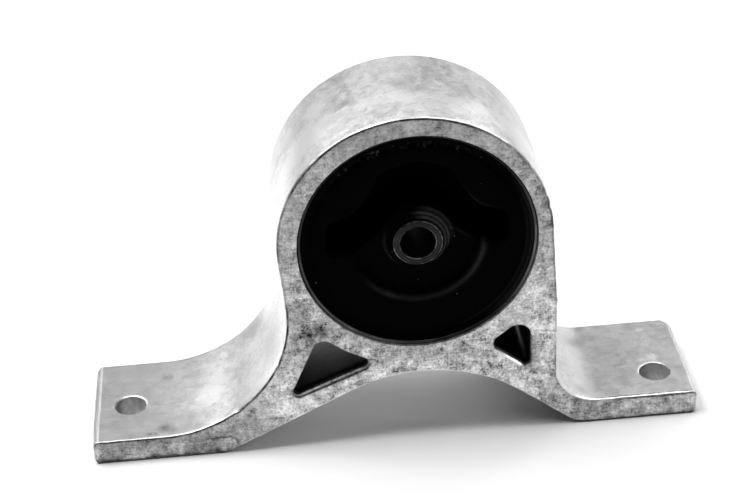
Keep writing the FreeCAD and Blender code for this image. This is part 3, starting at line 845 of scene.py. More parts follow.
def build_rubber():
    V, F = [], []
    count = 0

    def push(A):
        nonlocal count
        V.append(np.asarray(A, float))
        ids = np.arange(count, count + len(A))
        count += len(A)
        return ids

    def strip(a, b):
        n = len(a)
        for i in range(n):
            j = (i + 1) % n
            F.append((a[i], a[j], b[j], b[i]))

    nt = 216
    th = np.linspace(0, 2 * math.pi, nt, endpoint=False)

    def circ(r, d, s):
        y = (Y_FRONT + d) if s > 0 else (Y_BACK - d)
        return push(np.column_stack([r * np.cos(th), np.full(nt, y), r * np.sin(th)]))

    ends = {}
    for s in (1, -1):
        # inner rows about the tube, outer rows by the sleeve
        inner = [circ(r, rubber_depth(r), s) for r in np.r_[8.65, 8.85, 9.15, 9.35, np.arange(9.45, 11.5, 0.13)]]
        for a, b in zip(inner, inner[1:]):
            strip(a, b)
        outer = [circ(r, rubber_depth(r), s) for r in np.arange(35.2, 40.31, 0.34)]
        for a, b in zip(outer, outer[1:]):
            strip(a, b)
        loop = pocket_loop()
        N = normals2(loop)
        m = len(loop)
        lip = 0.75
        rows = []
        for k, g in enumerate((lip + 0.55, lip, lip * 0.62, lip * 0.3, lip * 0.08, 0.0)):
            Q = loop + N * g
            r = np.hypot(Q[:, 0], Q[:, 1])
            base = rubber_depth(r)
            drop = 0.0 if k < 2 else lip * (1 - math.sqrt(max(0.0, 1 - (1 - g / lip) ** 2)))
            d = base + drop
            rows.append(push(np.column_stack([Q[:, 0], (Y_FRONT + d) if s > 0 else (Y_BACK - d), Q[:, 1]])))
        r0 = np.hypot(loop[:, 0], loop[:, 1])
        top = rubber_depth(r0) + lip
        for f in np.linspace(0.12, 1.0, 9):
            d = top + (POCKET_DEPTH - 2.2 - top) * f
            Q = loop - N * (0.9 * f)
            rows.append(push(np.column_stack([Q[:, 0], (Y_FRONT + d) if s > 0 else (Y_BACK - d), Q[:, 1]])))
        for a in (30, 60, 90):
            ar = math.radians(a)
            d = POCKET_DEPTH - 2.2 + 2.2 * math.sin(ar)
            Q = loop - N * (0.9 + 2.2 * (1 - math.cos(ar)) * 0.62)
            rows.append(push(np.column_stack([Q[:, 0], np.full(m, (Y_FRONT + d) if s > 0 else (Y_BACK - d)), Q[:, 1]])))
        for a, b in zip(rows, rows[1:]):
            strip(a, b)
        # face between the inner circle, the outer circle and the pocket mouth
        allv = np.concatenate(V)
        outer0, inner_last, mouth, floor_ = outer[0], inner[-1], rows[0], rows[-1]

        def fill(outer_ids, hole_ids, step, depth_of, seed):
            op = allv[outer_ids][:, [0, 2]]
            hp = [allv[h][:, [0, 2]] for h in hole_ids]
            x0, z0 = op.min(0)
            x1, z1 = op.max(0)
            gz = np.arange(z0, z1, step * 0.866)
            G = np.array([(x + (step / 2 if k % 2 else 0), z) for k, z in enumerate(gz) for x in np.arange(x0, x1, step)])
            rng = np.random.default_rng(seed)
            G = G + rng.uniform(-0.1, 0.1, G.shape) * step
            # rings where the dish rim bends
            extra = [np.column_stack([rr * np.cos(t), rr * np.sin(t)]) for rr in (19.4, 20.1, 20.7, 21.3, 21.9, 22.4, 23.0, 23.6, 24.3)
                     for t in [np.linspace(0, 2 * math.pi, int(rr * 2 * math.pi / 0.8), endpoint=False)]] if depth_of is not None else []
            if extra:
                E = np.concatenate(extra)
                rg = np.hypot(G[:, 0], G[:, 1])
                G = np.concatenate([G[(rg < 19.0) | (rg > 24.8)], E])
            ok = inside(G, op)
            for h in hp:
                ok &= ~inside(G, h)
            G = G[ok]
            G = G[dist_to(G, np.concatenate([op] + hp)) > 0.35]
            ids = np.concatenate([outer_ids] + hole_ids)
            pts = np.concatenate([allv[ids][:, [0, 2]], G])
            edges, k = [], 0
            for l in [outer_ids] + hole_ids:
                edges += [(k + i, k + (i + 1) % len(l)) for i in range(len(l))]
                k += len(l)
            res = delaunay_2d_cdt([Vector((float(p[0]), float(p[1]))) for p in pts], edges, [], 0, 1e-5)
            ov, of, orig = res[0], res[2], res[3]
            inp = [o[0] if len(o) else -1 for o in orig]
            assert min(inp) >= 0
            cen = np.array([np.mean([ov[i] for i in f], axis=0) for f in of])
            good = inside(cen, op)
            for h in hp:
                good &= ~inside(cen, h)
            rr = np.hypot(G[:, 0], G[:, 1])
            d = rubber_depth(rr) if depth_of is not None else np.full(len(G), POCKET_DEPTH)
            gid = push(np.column_stack([G[:, 0], (Y_FRONT + d) if s > 0 else (Y_BACK - d), G[:, 1]]))
            new_ids = np.concatenate([ids, gid])
            for f, g in zip(of, good):
                if g:
                    F.append(tuple(int(new_ids[inp[i]]) for i in f))

        fill(outer0, [inner_last, mouth], 1.1, True, 5)
        allv = np.concatenate(V)
        fill(floor_, [], 1.8, None, 6)
        ends[s] = (inner[0], outer[-1])
    # outer wall and tube wall
    prev = ends[1][1]
    for y in np.linspace(-20, 20, 9):
        cur = push(np.column_stack([40.3 * np.cos(th), np.full(nt, y), 40.3 * np.sin(th)]))
        strip(prev, cur)
        prev = cur
    strip(prev, ends[-1][1])
    prev = ends[1][0]
    for y in np.linspace(-20, 20, 5):
        cur = push(np.column_stack([8.65 * np.cos(th), np.full(nt, y), 8.65 * np.sin(th)]))
        strip(prev, cur)
        prev = cur
    strip(prev, ends[-1][0])
    allv = np.concatenate(V)
    ob = new_object("bush_rubber_body", allv, F)
    recalc(ob)
    co = get_co(ob.data)
    nor = get_nor(ob.data)
    r = np.hypot(co[:, 0], co[:, 2])
    amp = np.where((r > 40.2) | (r < 8.7), 0.0, 0.06)
    co = co + nor * (amp * nz(co, 6.0, 41) + amp * 0.6 * nz(co, 2.0, 42))[:, None]
    set_co(ob.data, co)
    # painted highlights where the rubber's edges catch the light: only on the front end
    deg = np.degrees(np.arctan2(co[:, 2], co[:, 0]))
    front = co[:, 1] < Y_FRONT + 7.0
    rim_sheen = np.zeros(len(co))

    def arc(rad, wid, d0, d1, ease, k):
        u = np.exp(-((r - rad) / wid) ** 2)
        return k * u * smooth01((deg - d0) / ease) * smooth01((d1 - deg) / ease)

    rim_sheen += arc(23.2, 0.75, -152, 14, 26, 0.9) * (0.7 + 0.6 * np.exp(-((deg + 20) / 32) ** 2) + 0.5 * np.exp(-((deg + 116) / 5) ** 2))
    for rr, k, a0, a1 in ((9.6, 2.1, -70, 100), (10.8, 2.5, -25, 105), (12.3, 1.6, -10, 95), (14.0, 1.3, 20, 85), (11.2, 0.55, 150, 240)):
        dd = deg if a1 <= 180 else np.where(deg < 0, deg + 360, deg)
        u = np.exp(-((r - rr) / 0.38) ** 2)
        rim_sheen += k * u * smooth01((dd - a0) / 30) * smooth01((a1 - dd) / 30)
    rim_sheen += arc(39.6, 0.6, -60, 40, 25, 0.55) + arc(38.0, 0.5, -75, 30, 25, 0.35)
    # rim of the pocket, right of the hub, and the hub's flank above the right corner
    pl = pocket_loop(0.6)
    near = front & (r < 36) & (r > 13)
    dp = np.full(len(co), 9.0)
    dp[near] = dist_to(co[near][:, [0, 2]], pl)
    rim = np.exp(-((dp - 0.35) / 0.45) ** 2)
    rim_sheen += 0.55 * rim * np.exp(-(((co[:, 0] - 19.5) / 5.0) ** 2 + ((co[:, 2] - 12.5) / 4.5) ** 2))
    rim_sheen += 0.5 * rim * np.exp(-(((co[:, 0] - 15.5) / 4.5) ** 2 + ((co[:, 2] - 1.0) / 4.0) ** 2))
    at = ob.data.attributes.new("painted_sheen", "FLOAT", "POINT")
    at.data.foreach_set("value", np.where(front, np.clip(rim_sheen, 0, 3.4), 0).astype(np.float32))
    return ob


def round_profile(P, r, seg=4):
    """Closed profile with every corner rounded by about r."""
    P = [tuple(p) for p in P]
    out = []
    n = len(P)
    for i in range(n):
        p, c, q = P[i - 1], P[i], P[(i + 1) % n]
        la, lb = math.hypot(p[0] - c[0], p[1] - c[1]), math.hypot(q[0] - c[0], q[1] - c[1])
        a, b = unit((p[0] - c[0], p[1] - c[1])), unit((q[0] - c[0], q[1] - c[1]))
        t = min(r, 0.45 * la, 0.45 * lb)
        A, B = (c[0] + a[0] * t, c[1] + a[1] * t), (c[0] + b[0] * t, c[1] + b[1] * t)
        for k in range(seg + 1):
            s = k / seg
            out.append(((1 - s) ** 2 * A[0] + 2 * s * (1 - s) * c[0] + s * s * B[0], (1 - s) ** 2 * A[1] + 2 * s * (1 - s) * c[1] + s * s * B[1]))
    return out


rubber = build_rubber()
finish_mesh(rubber, 50)

y0, y1 = Y_FRONT + 1.0, Y_BACK - 1.0
sleeve = lathe("bush_sleeve", round_profile([
    (41.1, y0), (41.5, y0 + 0.4), (41.5, -8), (41.5, 8), (41.5, y1 - 0.4), (41.1, y1),
    (40.72, y1), (40.3, y1 - 0.3), (40.3, 8), (40.3, -8), (40.3, y0 + 0.3), (40.72, y0)], 0.16), 256)
finish_mesh(sleeve, 40)
# painted light: the sleeve's end is painted lighter at three angles round the axis
co = get_co(sleeve.data)
deg = np.degrees(np.arctan2(co[:, 2], co[:, 0]))
lit = 0.06 + np.exp(-((deg + 122) / 34) ** 2) + 0.9 * np.exp(-((deg + 12) / 30) ** 2) + 0.25 * np.exp(-((np.abs(deg) - 175) / 20) ** 2)
lit *= np.clip(0.8 + 0.5 * nz(co, 5.0, 45), 0.2, 1.4)
at = sleeve.data.attributes.new("lit", "FLOAT", "POINT")
at.data.foreach_set("value", lit.astype(np.float32))

y0, y1 = Y_FRONT + 0.8, Y_BACK - 0.8
tube_pts = []
# end face with fine turned grooves, then the outside
face_r = np.arange(6.75, 8.1, 0.15)
front = [(r, y0 + (0.035 if i % 2 else 0.0)) for i, r in enumerate(face_r)]
back = [(r, y1 - (0.035 if i % 2 else 0.0)) for i, r in enumerate(face_r[::-1])]
prof = round_profile([(6.15, y0 + 0.5), (6.6, y0)], 0.0)[:0]
prof = [(6.15, y0 + 0.55), (6.22, y0 + 0.28), (6.42, y0 + 0.09), (6.6, y0)] + front + \
       [(8.18, y0), (8.38, y0 + 0.09), (8.57, y0 + 0.27), (8.65, y0 + 0.5), (8.65, -8), (8.65, 8), (8.65, y1 - 0.5), (8.57, y1 - 0.27),
        (8.38, y1 - 0.09), (8.18, y1)] + back + [(6.6, y1), (6.42, y1 - 0.09), (6.22, y1 - 0.28), (6.15, y1 - 0.55)]
prof += [(6.15, y) for y in np.linspace(y1 - 2.5, y0 + 2.5, 16)]
tube = lathe("bush_tube", prof, 160)
finish_mesh(tube, 25)


# ------------------------------------------------------------------ materials
class Nodes:
    """Short hand for building node trees."""

    def __init__(self, name):
        self.mat = bpy.data.materials.new(name)
        self.mat.use_nodes = True
        self.t = self.mat.node_tree
        self.t.nodes.clear()
        self.out = self.t.nodes.new("ShaderNodeOutputMaterial")
        self.bsdf = self.t.nodes.new("ShaderNodeBsdfPrincipled")
        self.t.links.new(self.bsdf.outputs[0], self.out.inputs[0])
        tc = self.t.nodes.new("ShaderNodeTexCoord")
        sc = self.t.nodes.new("ShaderNodeVectorMath")
        sc.operation = "SCALE"
        sc.inputs["Scale"].default_value = 1000.0
        self.t.links.new(tc.outputs["Object"], sc.inputs[0])
        self.P = sc.outputs[0]

    def put(self, sock, v):
        if isinstance(v, bpy.types.NodeSocket):
            self.t.links.new(v, sock)
        else:
            sock.default_value = v

    def node(self, kind, **kw):
        n = self.t.nodes.new(kind)
        for k, v in kw.items():
            setattr(n, k, v)
        return n

    def math(self, op, a, b=0.0, c=None, clamp=False):
        n = self.node("ShaderNodeMath", operation=op, use_clamp=clamp)
        self.put(n.inputs[0], a)
        self.put(n.inputs[1], b)
        if c is not None:
            self.put(n.inputs[2], c)
        return n.outputs[0]

    def add(self, a, b):
        return self.math("ADD", a, b)

    def mul(self, a, b):
        return self.math("MULTIPLY", a, b)

    def sub(self, a, b):
        return self.math("SUBTRACT", a, b)

    def stretch(self, v=None, scale=(1, 1, 1), shift=(0, 0, 0)):
        n = self.node("ShaderNodeMapping")
        self.put(n.inputs["Vector"], v if v is not None else self.P)
        n.inputs["Scale"].default_value = scale
        n.inputs["Location"].default_value = shift
        return n.outputs[0]

    def noise(self, size, detail=3.0, rough=0.55, vec=None, seed=0.0, distort=0.0):
        """Noise of about size millimetres, 0..1."""
        n = self.node("ShaderNodeTexNoise")
        n.noise_dimensions = "4D"
        self.put(n.inputs["Vector"], vec if vec is not None else self.P)
        n.inputs["W"].default_value = seed
        n.inputs["Scale"].default_value = 1.0 / size
        n.inputs["Detail"].default_value = detail
        n.inputs["Roughness"].default_value = rough
        n.inputs["Distortion"].default_value = distort
        return n.outputs[0]

    def cells(self, size, vec=None, rand=1.0):
        """Distance to the nearest of scattered points about size millimetres apart, in cell units."""
        n = self.node("ShaderNodeTexVoronoi")
        n.feature = "F1"
        self.put(n.inputs["Vector"], vec if vec is not None else self.P)
        n.inputs["Scale"].default_value = 1.0 / size
        n.inputs["Randomness"].default_value = rand
        return n.outputs["Distance"], n.outputs["Color"]

    def warp(self, size, amount):
        """The place, pushed about by a colour noise so that dots lose their roundness."""
        n = self.node("ShaderNodeTexNoise")
        self.put(n.inputs["Vector"], self.P)
        n.inputs["Scale"].default_value = 1.0 / size
        n.inputs["Detail"].default_value = 1.0
        k = self.node("ShaderNodeVectorMath", operation="SCALE")
        self.put(k.inputs[0], n.outputs["Color"])
        k.inputs["Scale"].default_value = amount
        j = self.node("ShaderNodeVectorMath", operation="ADD")
        self.put(j.inputs[0], self.P)
        self.put(j.inputs[1], k.outputs[0])
        return j.outputs[0]

    def ramp(self, v, lo, hi, a=0.0, b=1.0, smooth=True):
        n = self.node("ShaderNodeMapRange")
        n.interpolation_type = "SMOOTHSTEP" if smooth else "LINEAR"
        self.put(n.inputs["Value"], v)
        n.inputs["From Min"].default_value = lo
        n.inputs["From Max"].default_value = hi
        n.inputs["To Min"].default_value = a
        n.inputs["To Max"].default_value = b
        return n.outputs[0]

    def attr(self, name):
        n = self.node("ShaderNodeAttribute", attribute_name=name)
        return n.outputs["Fac"]

    def mix(self, f, a, b):
        n = self.node("ShaderNodeMix", data_type="FLOAT")
        self.put(n.inputs[0], f)
        self.put(n.inputs[2], a)
        self.put(n.inputs[3], b)
        return n.outputs[0]

    def grey(self, v, tint=(1.0, 1.0, 1.0)):
        n = self.node("ShaderNodeCombineColor")
        for k in range(3):
            self.put(n.inputs[k], self.mul(v, tint[k]) if tint[k] != 1.0 else v)
        return n.outputs[0]

    def bump(self, h, strength=1.0, dist=0.1, normal=None):
        n = self.node("ShaderNodeBump")
        n.inputs["Strength"].default_value = strength
        n.inputs["Distance"].default_value = dist * MM
        self.put(n.inputs["Height"], h)
        if normal is not None:
            self.put(n.inputs["Normal"], normal)
        return n.outputs[0]

    def sep(self, v=None):
        n = self.node("ShaderNodeSeparateXYZ")
        self.put(n.inputs[0], v if v is not None else self.P)
        return n.outputs[0], n.outputs[1], n.outputs[2]


def cast_aluminium():
    m = Nodes("cast_aluminium")
    ground, line, shine, tone = m.attr("ground"), m.attr("line"), m.attr("shine"), m.attr("tone")
    window_shade, mottle = m.attr("window_shade"), m.attr("mottle")
    x, y, z = m.sep()
    big = m.noise(14.0, 3, 0.5, seed=1.0)
    mid = m.noise(4.0, 4, 0.62, seed=2.0, distort=0.7)
    fine = m.noise(1.3, 3, 0.65, seed=3.0)
    tiny = m.noise(0.55, 2, 0.6, seed=7.0)
    # as-cast skin: cloudy, softly mottled, smoother on the feet
    skin = m.add(m.mul(m.sub(big, 0.5), 0.45), m.add(m.mul(m.sub(mid, 0.5), 0.50), m.add(m.mul(m.sub(fine, 0.5), 0.32), m.mul(m.sub(tiny, 0.5), 0.24))))
    skin_v = m.add(0.88, m.mul(skin, mottle))
    # dressed faces: short streaks along X, blotches and grit
    streak = m.noise(1.0, 3, 0.7, vec=m.stretch(scale=(0.18, 1.0, 1.25)), seed=4.0)
    blotch = m.noise(2.4, 4, 0.68, seed=5.0, distort=1.2)
    grit = m.noise(0.8, 3, 0.7, seed=8.0)
    patch = m.noise(5.0, 2, 0.5, seed=9.0, distort=0.5)
    crust = m.noise(1.1, 2, 0.6, seed=10.0, distort=0.6)
    stroke = m.noise(0.9, 2, 0.6, vec=m.stretch(scale=(0.9, 1.0, 0.30)), seed=15.0, distort=0.8)
    face = m.add(m.mul(m.sub(streak, 0.5), 0.8), m.add(m.mul(m.sub(blotch, 0.5), 1.15), m.add(m.mul(m.sub(grit, 0.5), 0.9), m.mul(m.sub(tiny, 0.5), 0.6))))
    face = m.add(face, m.mul(m.sub(stroke, 0.5), 0.7))
    face = m.add(face, m.add(m.mul(m.sub(patch, 0.5), 1.4), m.mul(m.sub(crust, 0.5), 0.8)))
    face_v = m.add(0.41, m.mul(face, m.mul(0.80, m.attr("crusty"))))
    v = m.mix(ground, skin_v, face_v)
    # dark specks: sparse on the skin, thicker on the faces
    d1, c1 = m.cells(2.4, vec=m.warp(0.9, 0.5))
    pick = m.node("ShaderNodeSeparateColor")
    m.put(pick.inputs[0], c1)
    speck = m.mul(m.ramp(d1, 0.30, 0.10), m.ramp(pick.outputs[0], 0.66, 0.86))
    d2, c2 = m.cells(1.15, vec=m.warp(0.7, 0.35))
    pick2 = m.node("ShaderNodeSeparateColor")
    m.put(pick2.inputs[0], c2)
    speck2 = m.mul(m.ramp(d2, 0.45, 0.15), m.ramp(pick2.outputs[1], 0.60, 0.9))
    many = m.mix(ground, m.mul(mottle, 0.22), 0.31)
    v = m.mul(v, m.sub(1.0, m.mul(m.add(m.mul(speck, 0.8), m.mul(speck2, 0.6)), many)))
    # stains, and painted light and shade, laid on by place
    v = m.mul(v, m.add(1.0, m.mul(tone, m.add(0.72, m.mul(m.add(fine, mid), 0.28)))))
    # bolt holes: a painted highlight on the broken edge on the side facing the light, painted shade on the other side,
    # and the wall below a grey of its own with painted shade, lighter towards +x
    for (hx, hy), (lx, ly) in ((HOLE_LEFT, (0.55, 0.83)), (HOLE_RIGHT, (-0.45, 0.89))):
        dx, dy = m.sub(x, hx), m.sub(y, hy)
        d = m.math("SQRT", m.add(m.mul(dx, dx), m.mul(dy, dy)))
        side = m.mul(m.add(m.mul(dx, lx), m.mul(dy, ly)), 1.0 / HOLE_R)
        side = m.ramp(m.add(side, m.mul(m.sub(fine, 0.5), 0.9)), 0.15, 0.60)
        rim = m.mul(m.mul(m.ramp(d, HOLE_R - 0.02, HOLE_R + 0.06), m.ramp(d, HOLE_R + 1.0, HOLE_R + 0.7)), m.ramp(z, Z_TOP - 0.7, Z_TOP - 0.5))
        v = m.mix(m.mul(rim, side), v, 0.97)
        rim_shade = m.mul(m.mul(rim, m.sub(1.0, side)), 0.14)
        v = m.mul(v, m.sub(1.0, rim_shade))
        inner = m.mul(m.ramp(d, HOLE_R + 0.05, HOLE_R - 0.01), m.ramp(z, Z_TOP - 0.3, Z_TOP - 0.6))
        v = m.mix(inner, v, m.add(0.50, m.add(m.mul(m.sub(mid, 0.5), 0.7), m.mul(dx, 0.06))))
    # the long foot's end: a painted highlight line where the rounding begins, painted shade below it
    top_only = m.mul(m.ramp(z, Z_TOP - 2.2, Z_TOP - 1.6), m.ramp(y, Y_FRONT + 0.5, Y_FRONT + 1.0))
    edge = m.add(m.sub(x, X_LEFT), m.mul(m.sub(big, 0.5), 0.5))
    v = m.mix(m.mul(m.mul(m.ramp(edge, 1.25, 1.55), m.ramp(edge, 2.35, 2.0)), top_only), v, 0.97)
    v = m.mul(v, m.sub(1.0, m.mul(m.mul(m.ramp(edge, 0.75, 0.35), m.ramp(y, Y_FRONT + 0.5, Y_FRONT + 1.0)), 0.35)))
    # painted shade on the walls of the leg windows
    v = m.mul(v, m.sub(1.0, window_shade))
    # a dark line along the front edges, and beside it a bright edge, partly burnished metal and partly a painted
    # highlight
    v = m.mul(v, m.sub(1.0, m.mul(line, 0.93)))
    v = m.mix(m.mul(shine, 0.9), v, 0.97)
    # darker towards the bottom edge of the feet's front faces
    bottom_dark = m.ramp(m.add(z, m.mul(m.sub(blotch, 0.5), 3.2)), Z_BOTTOM + 1.7, Z_BOTTOM + 0.25)
    v = m.mul(v, m.sub(1.0, m.mul(m.mul(bottom_dark, m.ramp(y, Y_FRONT + 1.6, Y_FRONT + 0.9)), 0.86)))
    v = m.math("MINIMUM", m.math("MAXIMUM", v, 0.012), 0.97)
    m.put(m.bsdf.inputs["Base Color"], m.grey(v))
    m.bsdf.inputs["Metallic"].default_value = 0.85
    rough = m.mix(ground, m.add(0.39, m.mul(m.sub(mid, 0.5), 0.25)), m.add(0.47, m.mul(m.sub(blotch, 0.5), 0.3)))
    rough = m.add(rough, m.mul(line, 0.25))
    rough = m.add(rough, m.mul(m.mul(m.ramp(x, 49.0, 52.0), m.ramp(x, 66.0, 60.0)), m.mul(m.ramp(z, Z_TOP + 16.0, Z_TOP + 8.0), 0.16)))
    rough = m.add(rough, m.mul(window_shade, 0.25))
    rough = m.sub(rough, m.mul(shine, 0.20))
    m.put(m.bsdf.inputs["Roughness"], rough)
    m.bsdf.inputs["Specular IOR Level"].default_value = 0.3
    # relief: sand texture on the skin, scratches and pits on the faces
    sand = m.add(m.mul(m.noise(0.75, 2, 0.6, seed=6.0), 0.55), m.mul(mid, 0.9))
    face_h = m.add(m.mul(streak, 0.5), m.add(m.mul(grit, 0.5), m.sub(m.mul(blotch, 0.5), m.mul(speck, 0.9))))
    h = m.mix(ground, m.mul(m.sub(sand, m.mul(speck, 0.35)), m.add(0.35, m.mul(mottle, 0.65))), face_h)
    h = m.mul(h, m.sub(1.0, m.mul(shine, 0.8)))
    m.put(m.bsdf.inputs["Normal"], m.bump(h, 1.0, 0.13))
    return m.mat


def black_rubber():
    m = Nodes("black_rubber")
    fine = m.noise(0.9, 3, 0.6, seed=11.0)
    mid = m.noise(7.0, 3, 0.55, seed=12.0)
    v = m.add(0.0002, m.mul(mid, 0.0005))
    # painted highlights on the rubber's edges
    painted_sheen = m.mul(m.attr("painted_sheen"), m.add(0.55, m.mul(m.noise(1.6, 3, 0.6, seed=14.0), 0.9)))
    v = m.add(v, m.mul(painted_sheen, 0.019))
    # a few grains of pale dust
    d, c = m.cells(4.4)
    pick = m.node("ShaderNodeSeparateColor")
    m.put(pick.inputs[0], c)
    dust = m.mul(m.ramp(d, 0.085, 0.03), m.ramp(pick.outputs[0], 0.80, 0.86))
    v = m.add(v, m.mul(dust, 0.10))
    # and a thin broken line of it along the top, just inside the sleeve
    x, y, z = m.sep()
    off = m.math("ABSOLUTE", m.sub(m.math("SQRT", m.add(m.mul(x, x), m.mul(z, z))), 37.2))
    line = m.mul(m.ramp(off, 1.5, 0.5), m.mul(m.ramp(z, 24.0, 31.0), m.ramp(y, Y_FRONT + 9.0, Y_FRONT + 8.0)))
    v = m.add(v, m.mul(m.mul(line, m.ramp(m.noise(1.5, 3, 0.6, seed=15.0), 0.54, 0.68)), 0.045))
    m.put(m.bsdf.inputs["Base Color"], m.grey(v))
    m.put(m.bsdf.inputs["Roughness"], m.add(0.42, m.add(m.mul(fine, 0.14), m.mul(mid, 0.10))))
    m.bsdf.inputs["Specular IOR Level"].default_value = 0.013
    h = m.add(m.mul(fine, 0.5), m.mul(m.noise(2.6, 3, 0.5, seed=13.0), 0.8))
    m.put(m.bsdf.inputs["Normal"], m.bump(h, 0.55, 0.10))
    return m.mat


def turned_steel(name, base, rough, ring_mm, lit=False, rim_highlights=()):
    m = Nodes(name)
    x, y, z = m.sep()
    r = m.math("SQRT", m.add(m.mul(x, x), m.mul(z, z)))
    comb = m.node("ShaderNodeCombineXYZ")
    m.put(comb.inputs[0], m.mul(r, 1.0 / ring_mm))
    m.put(comb.inputs[1], m.mul(y, 1.0 / ring_mm))
    turn = m.noise(1.0, 3, 0.6, vec=comb.outputs[0], seed=21.0)
    stain = m.noise(2.2, 4, 0.6, seed=22.0)
    v = m.add(base, m.add(m.mul(m.sub(turn, 0.5), base * 0.7), m.mul(m.sub(stain, 0.5), base * 0.8)))
    if lit:
        v = m.mul(v, m.attr("lit"))
    # painted highlights: bright rings on the rims of the tube's end faces
    for rr, wid, k in rim_highlights:
        hit = m.ramp(m.math("ABSOLUTE", m.sub(r, rr)), wid, wid * 0.35)
        near = m.ramp(m.math("ABSOLUTE", y), Y_BACK - 1.5, Y_BACK - 1.3)
        v = m.add(v, m.mul(m.mul(hit, near), m.mul(m.add(0.12, m.mul(m.ramp(stain, 0.38, 0.66), 1.35)), k)))
    m.put(m.bsdf.inputs["Base Color"], m.grey(m.math("MAXIMUM", v, 0.003)))
    m.bsdf.inputs["Metallic"].default_value = 0.9
    m.put(m.bsdf.inputs["Roughness"], m.add(rough, m.mul(m.sub(stain, 0.5), 0.3)))
    m.put(m.bsdf.inputs["Normal"], m.bump(m.add(turn, m.mul(stain, 0.4)), 0.8, 0.05))
    return m.mat
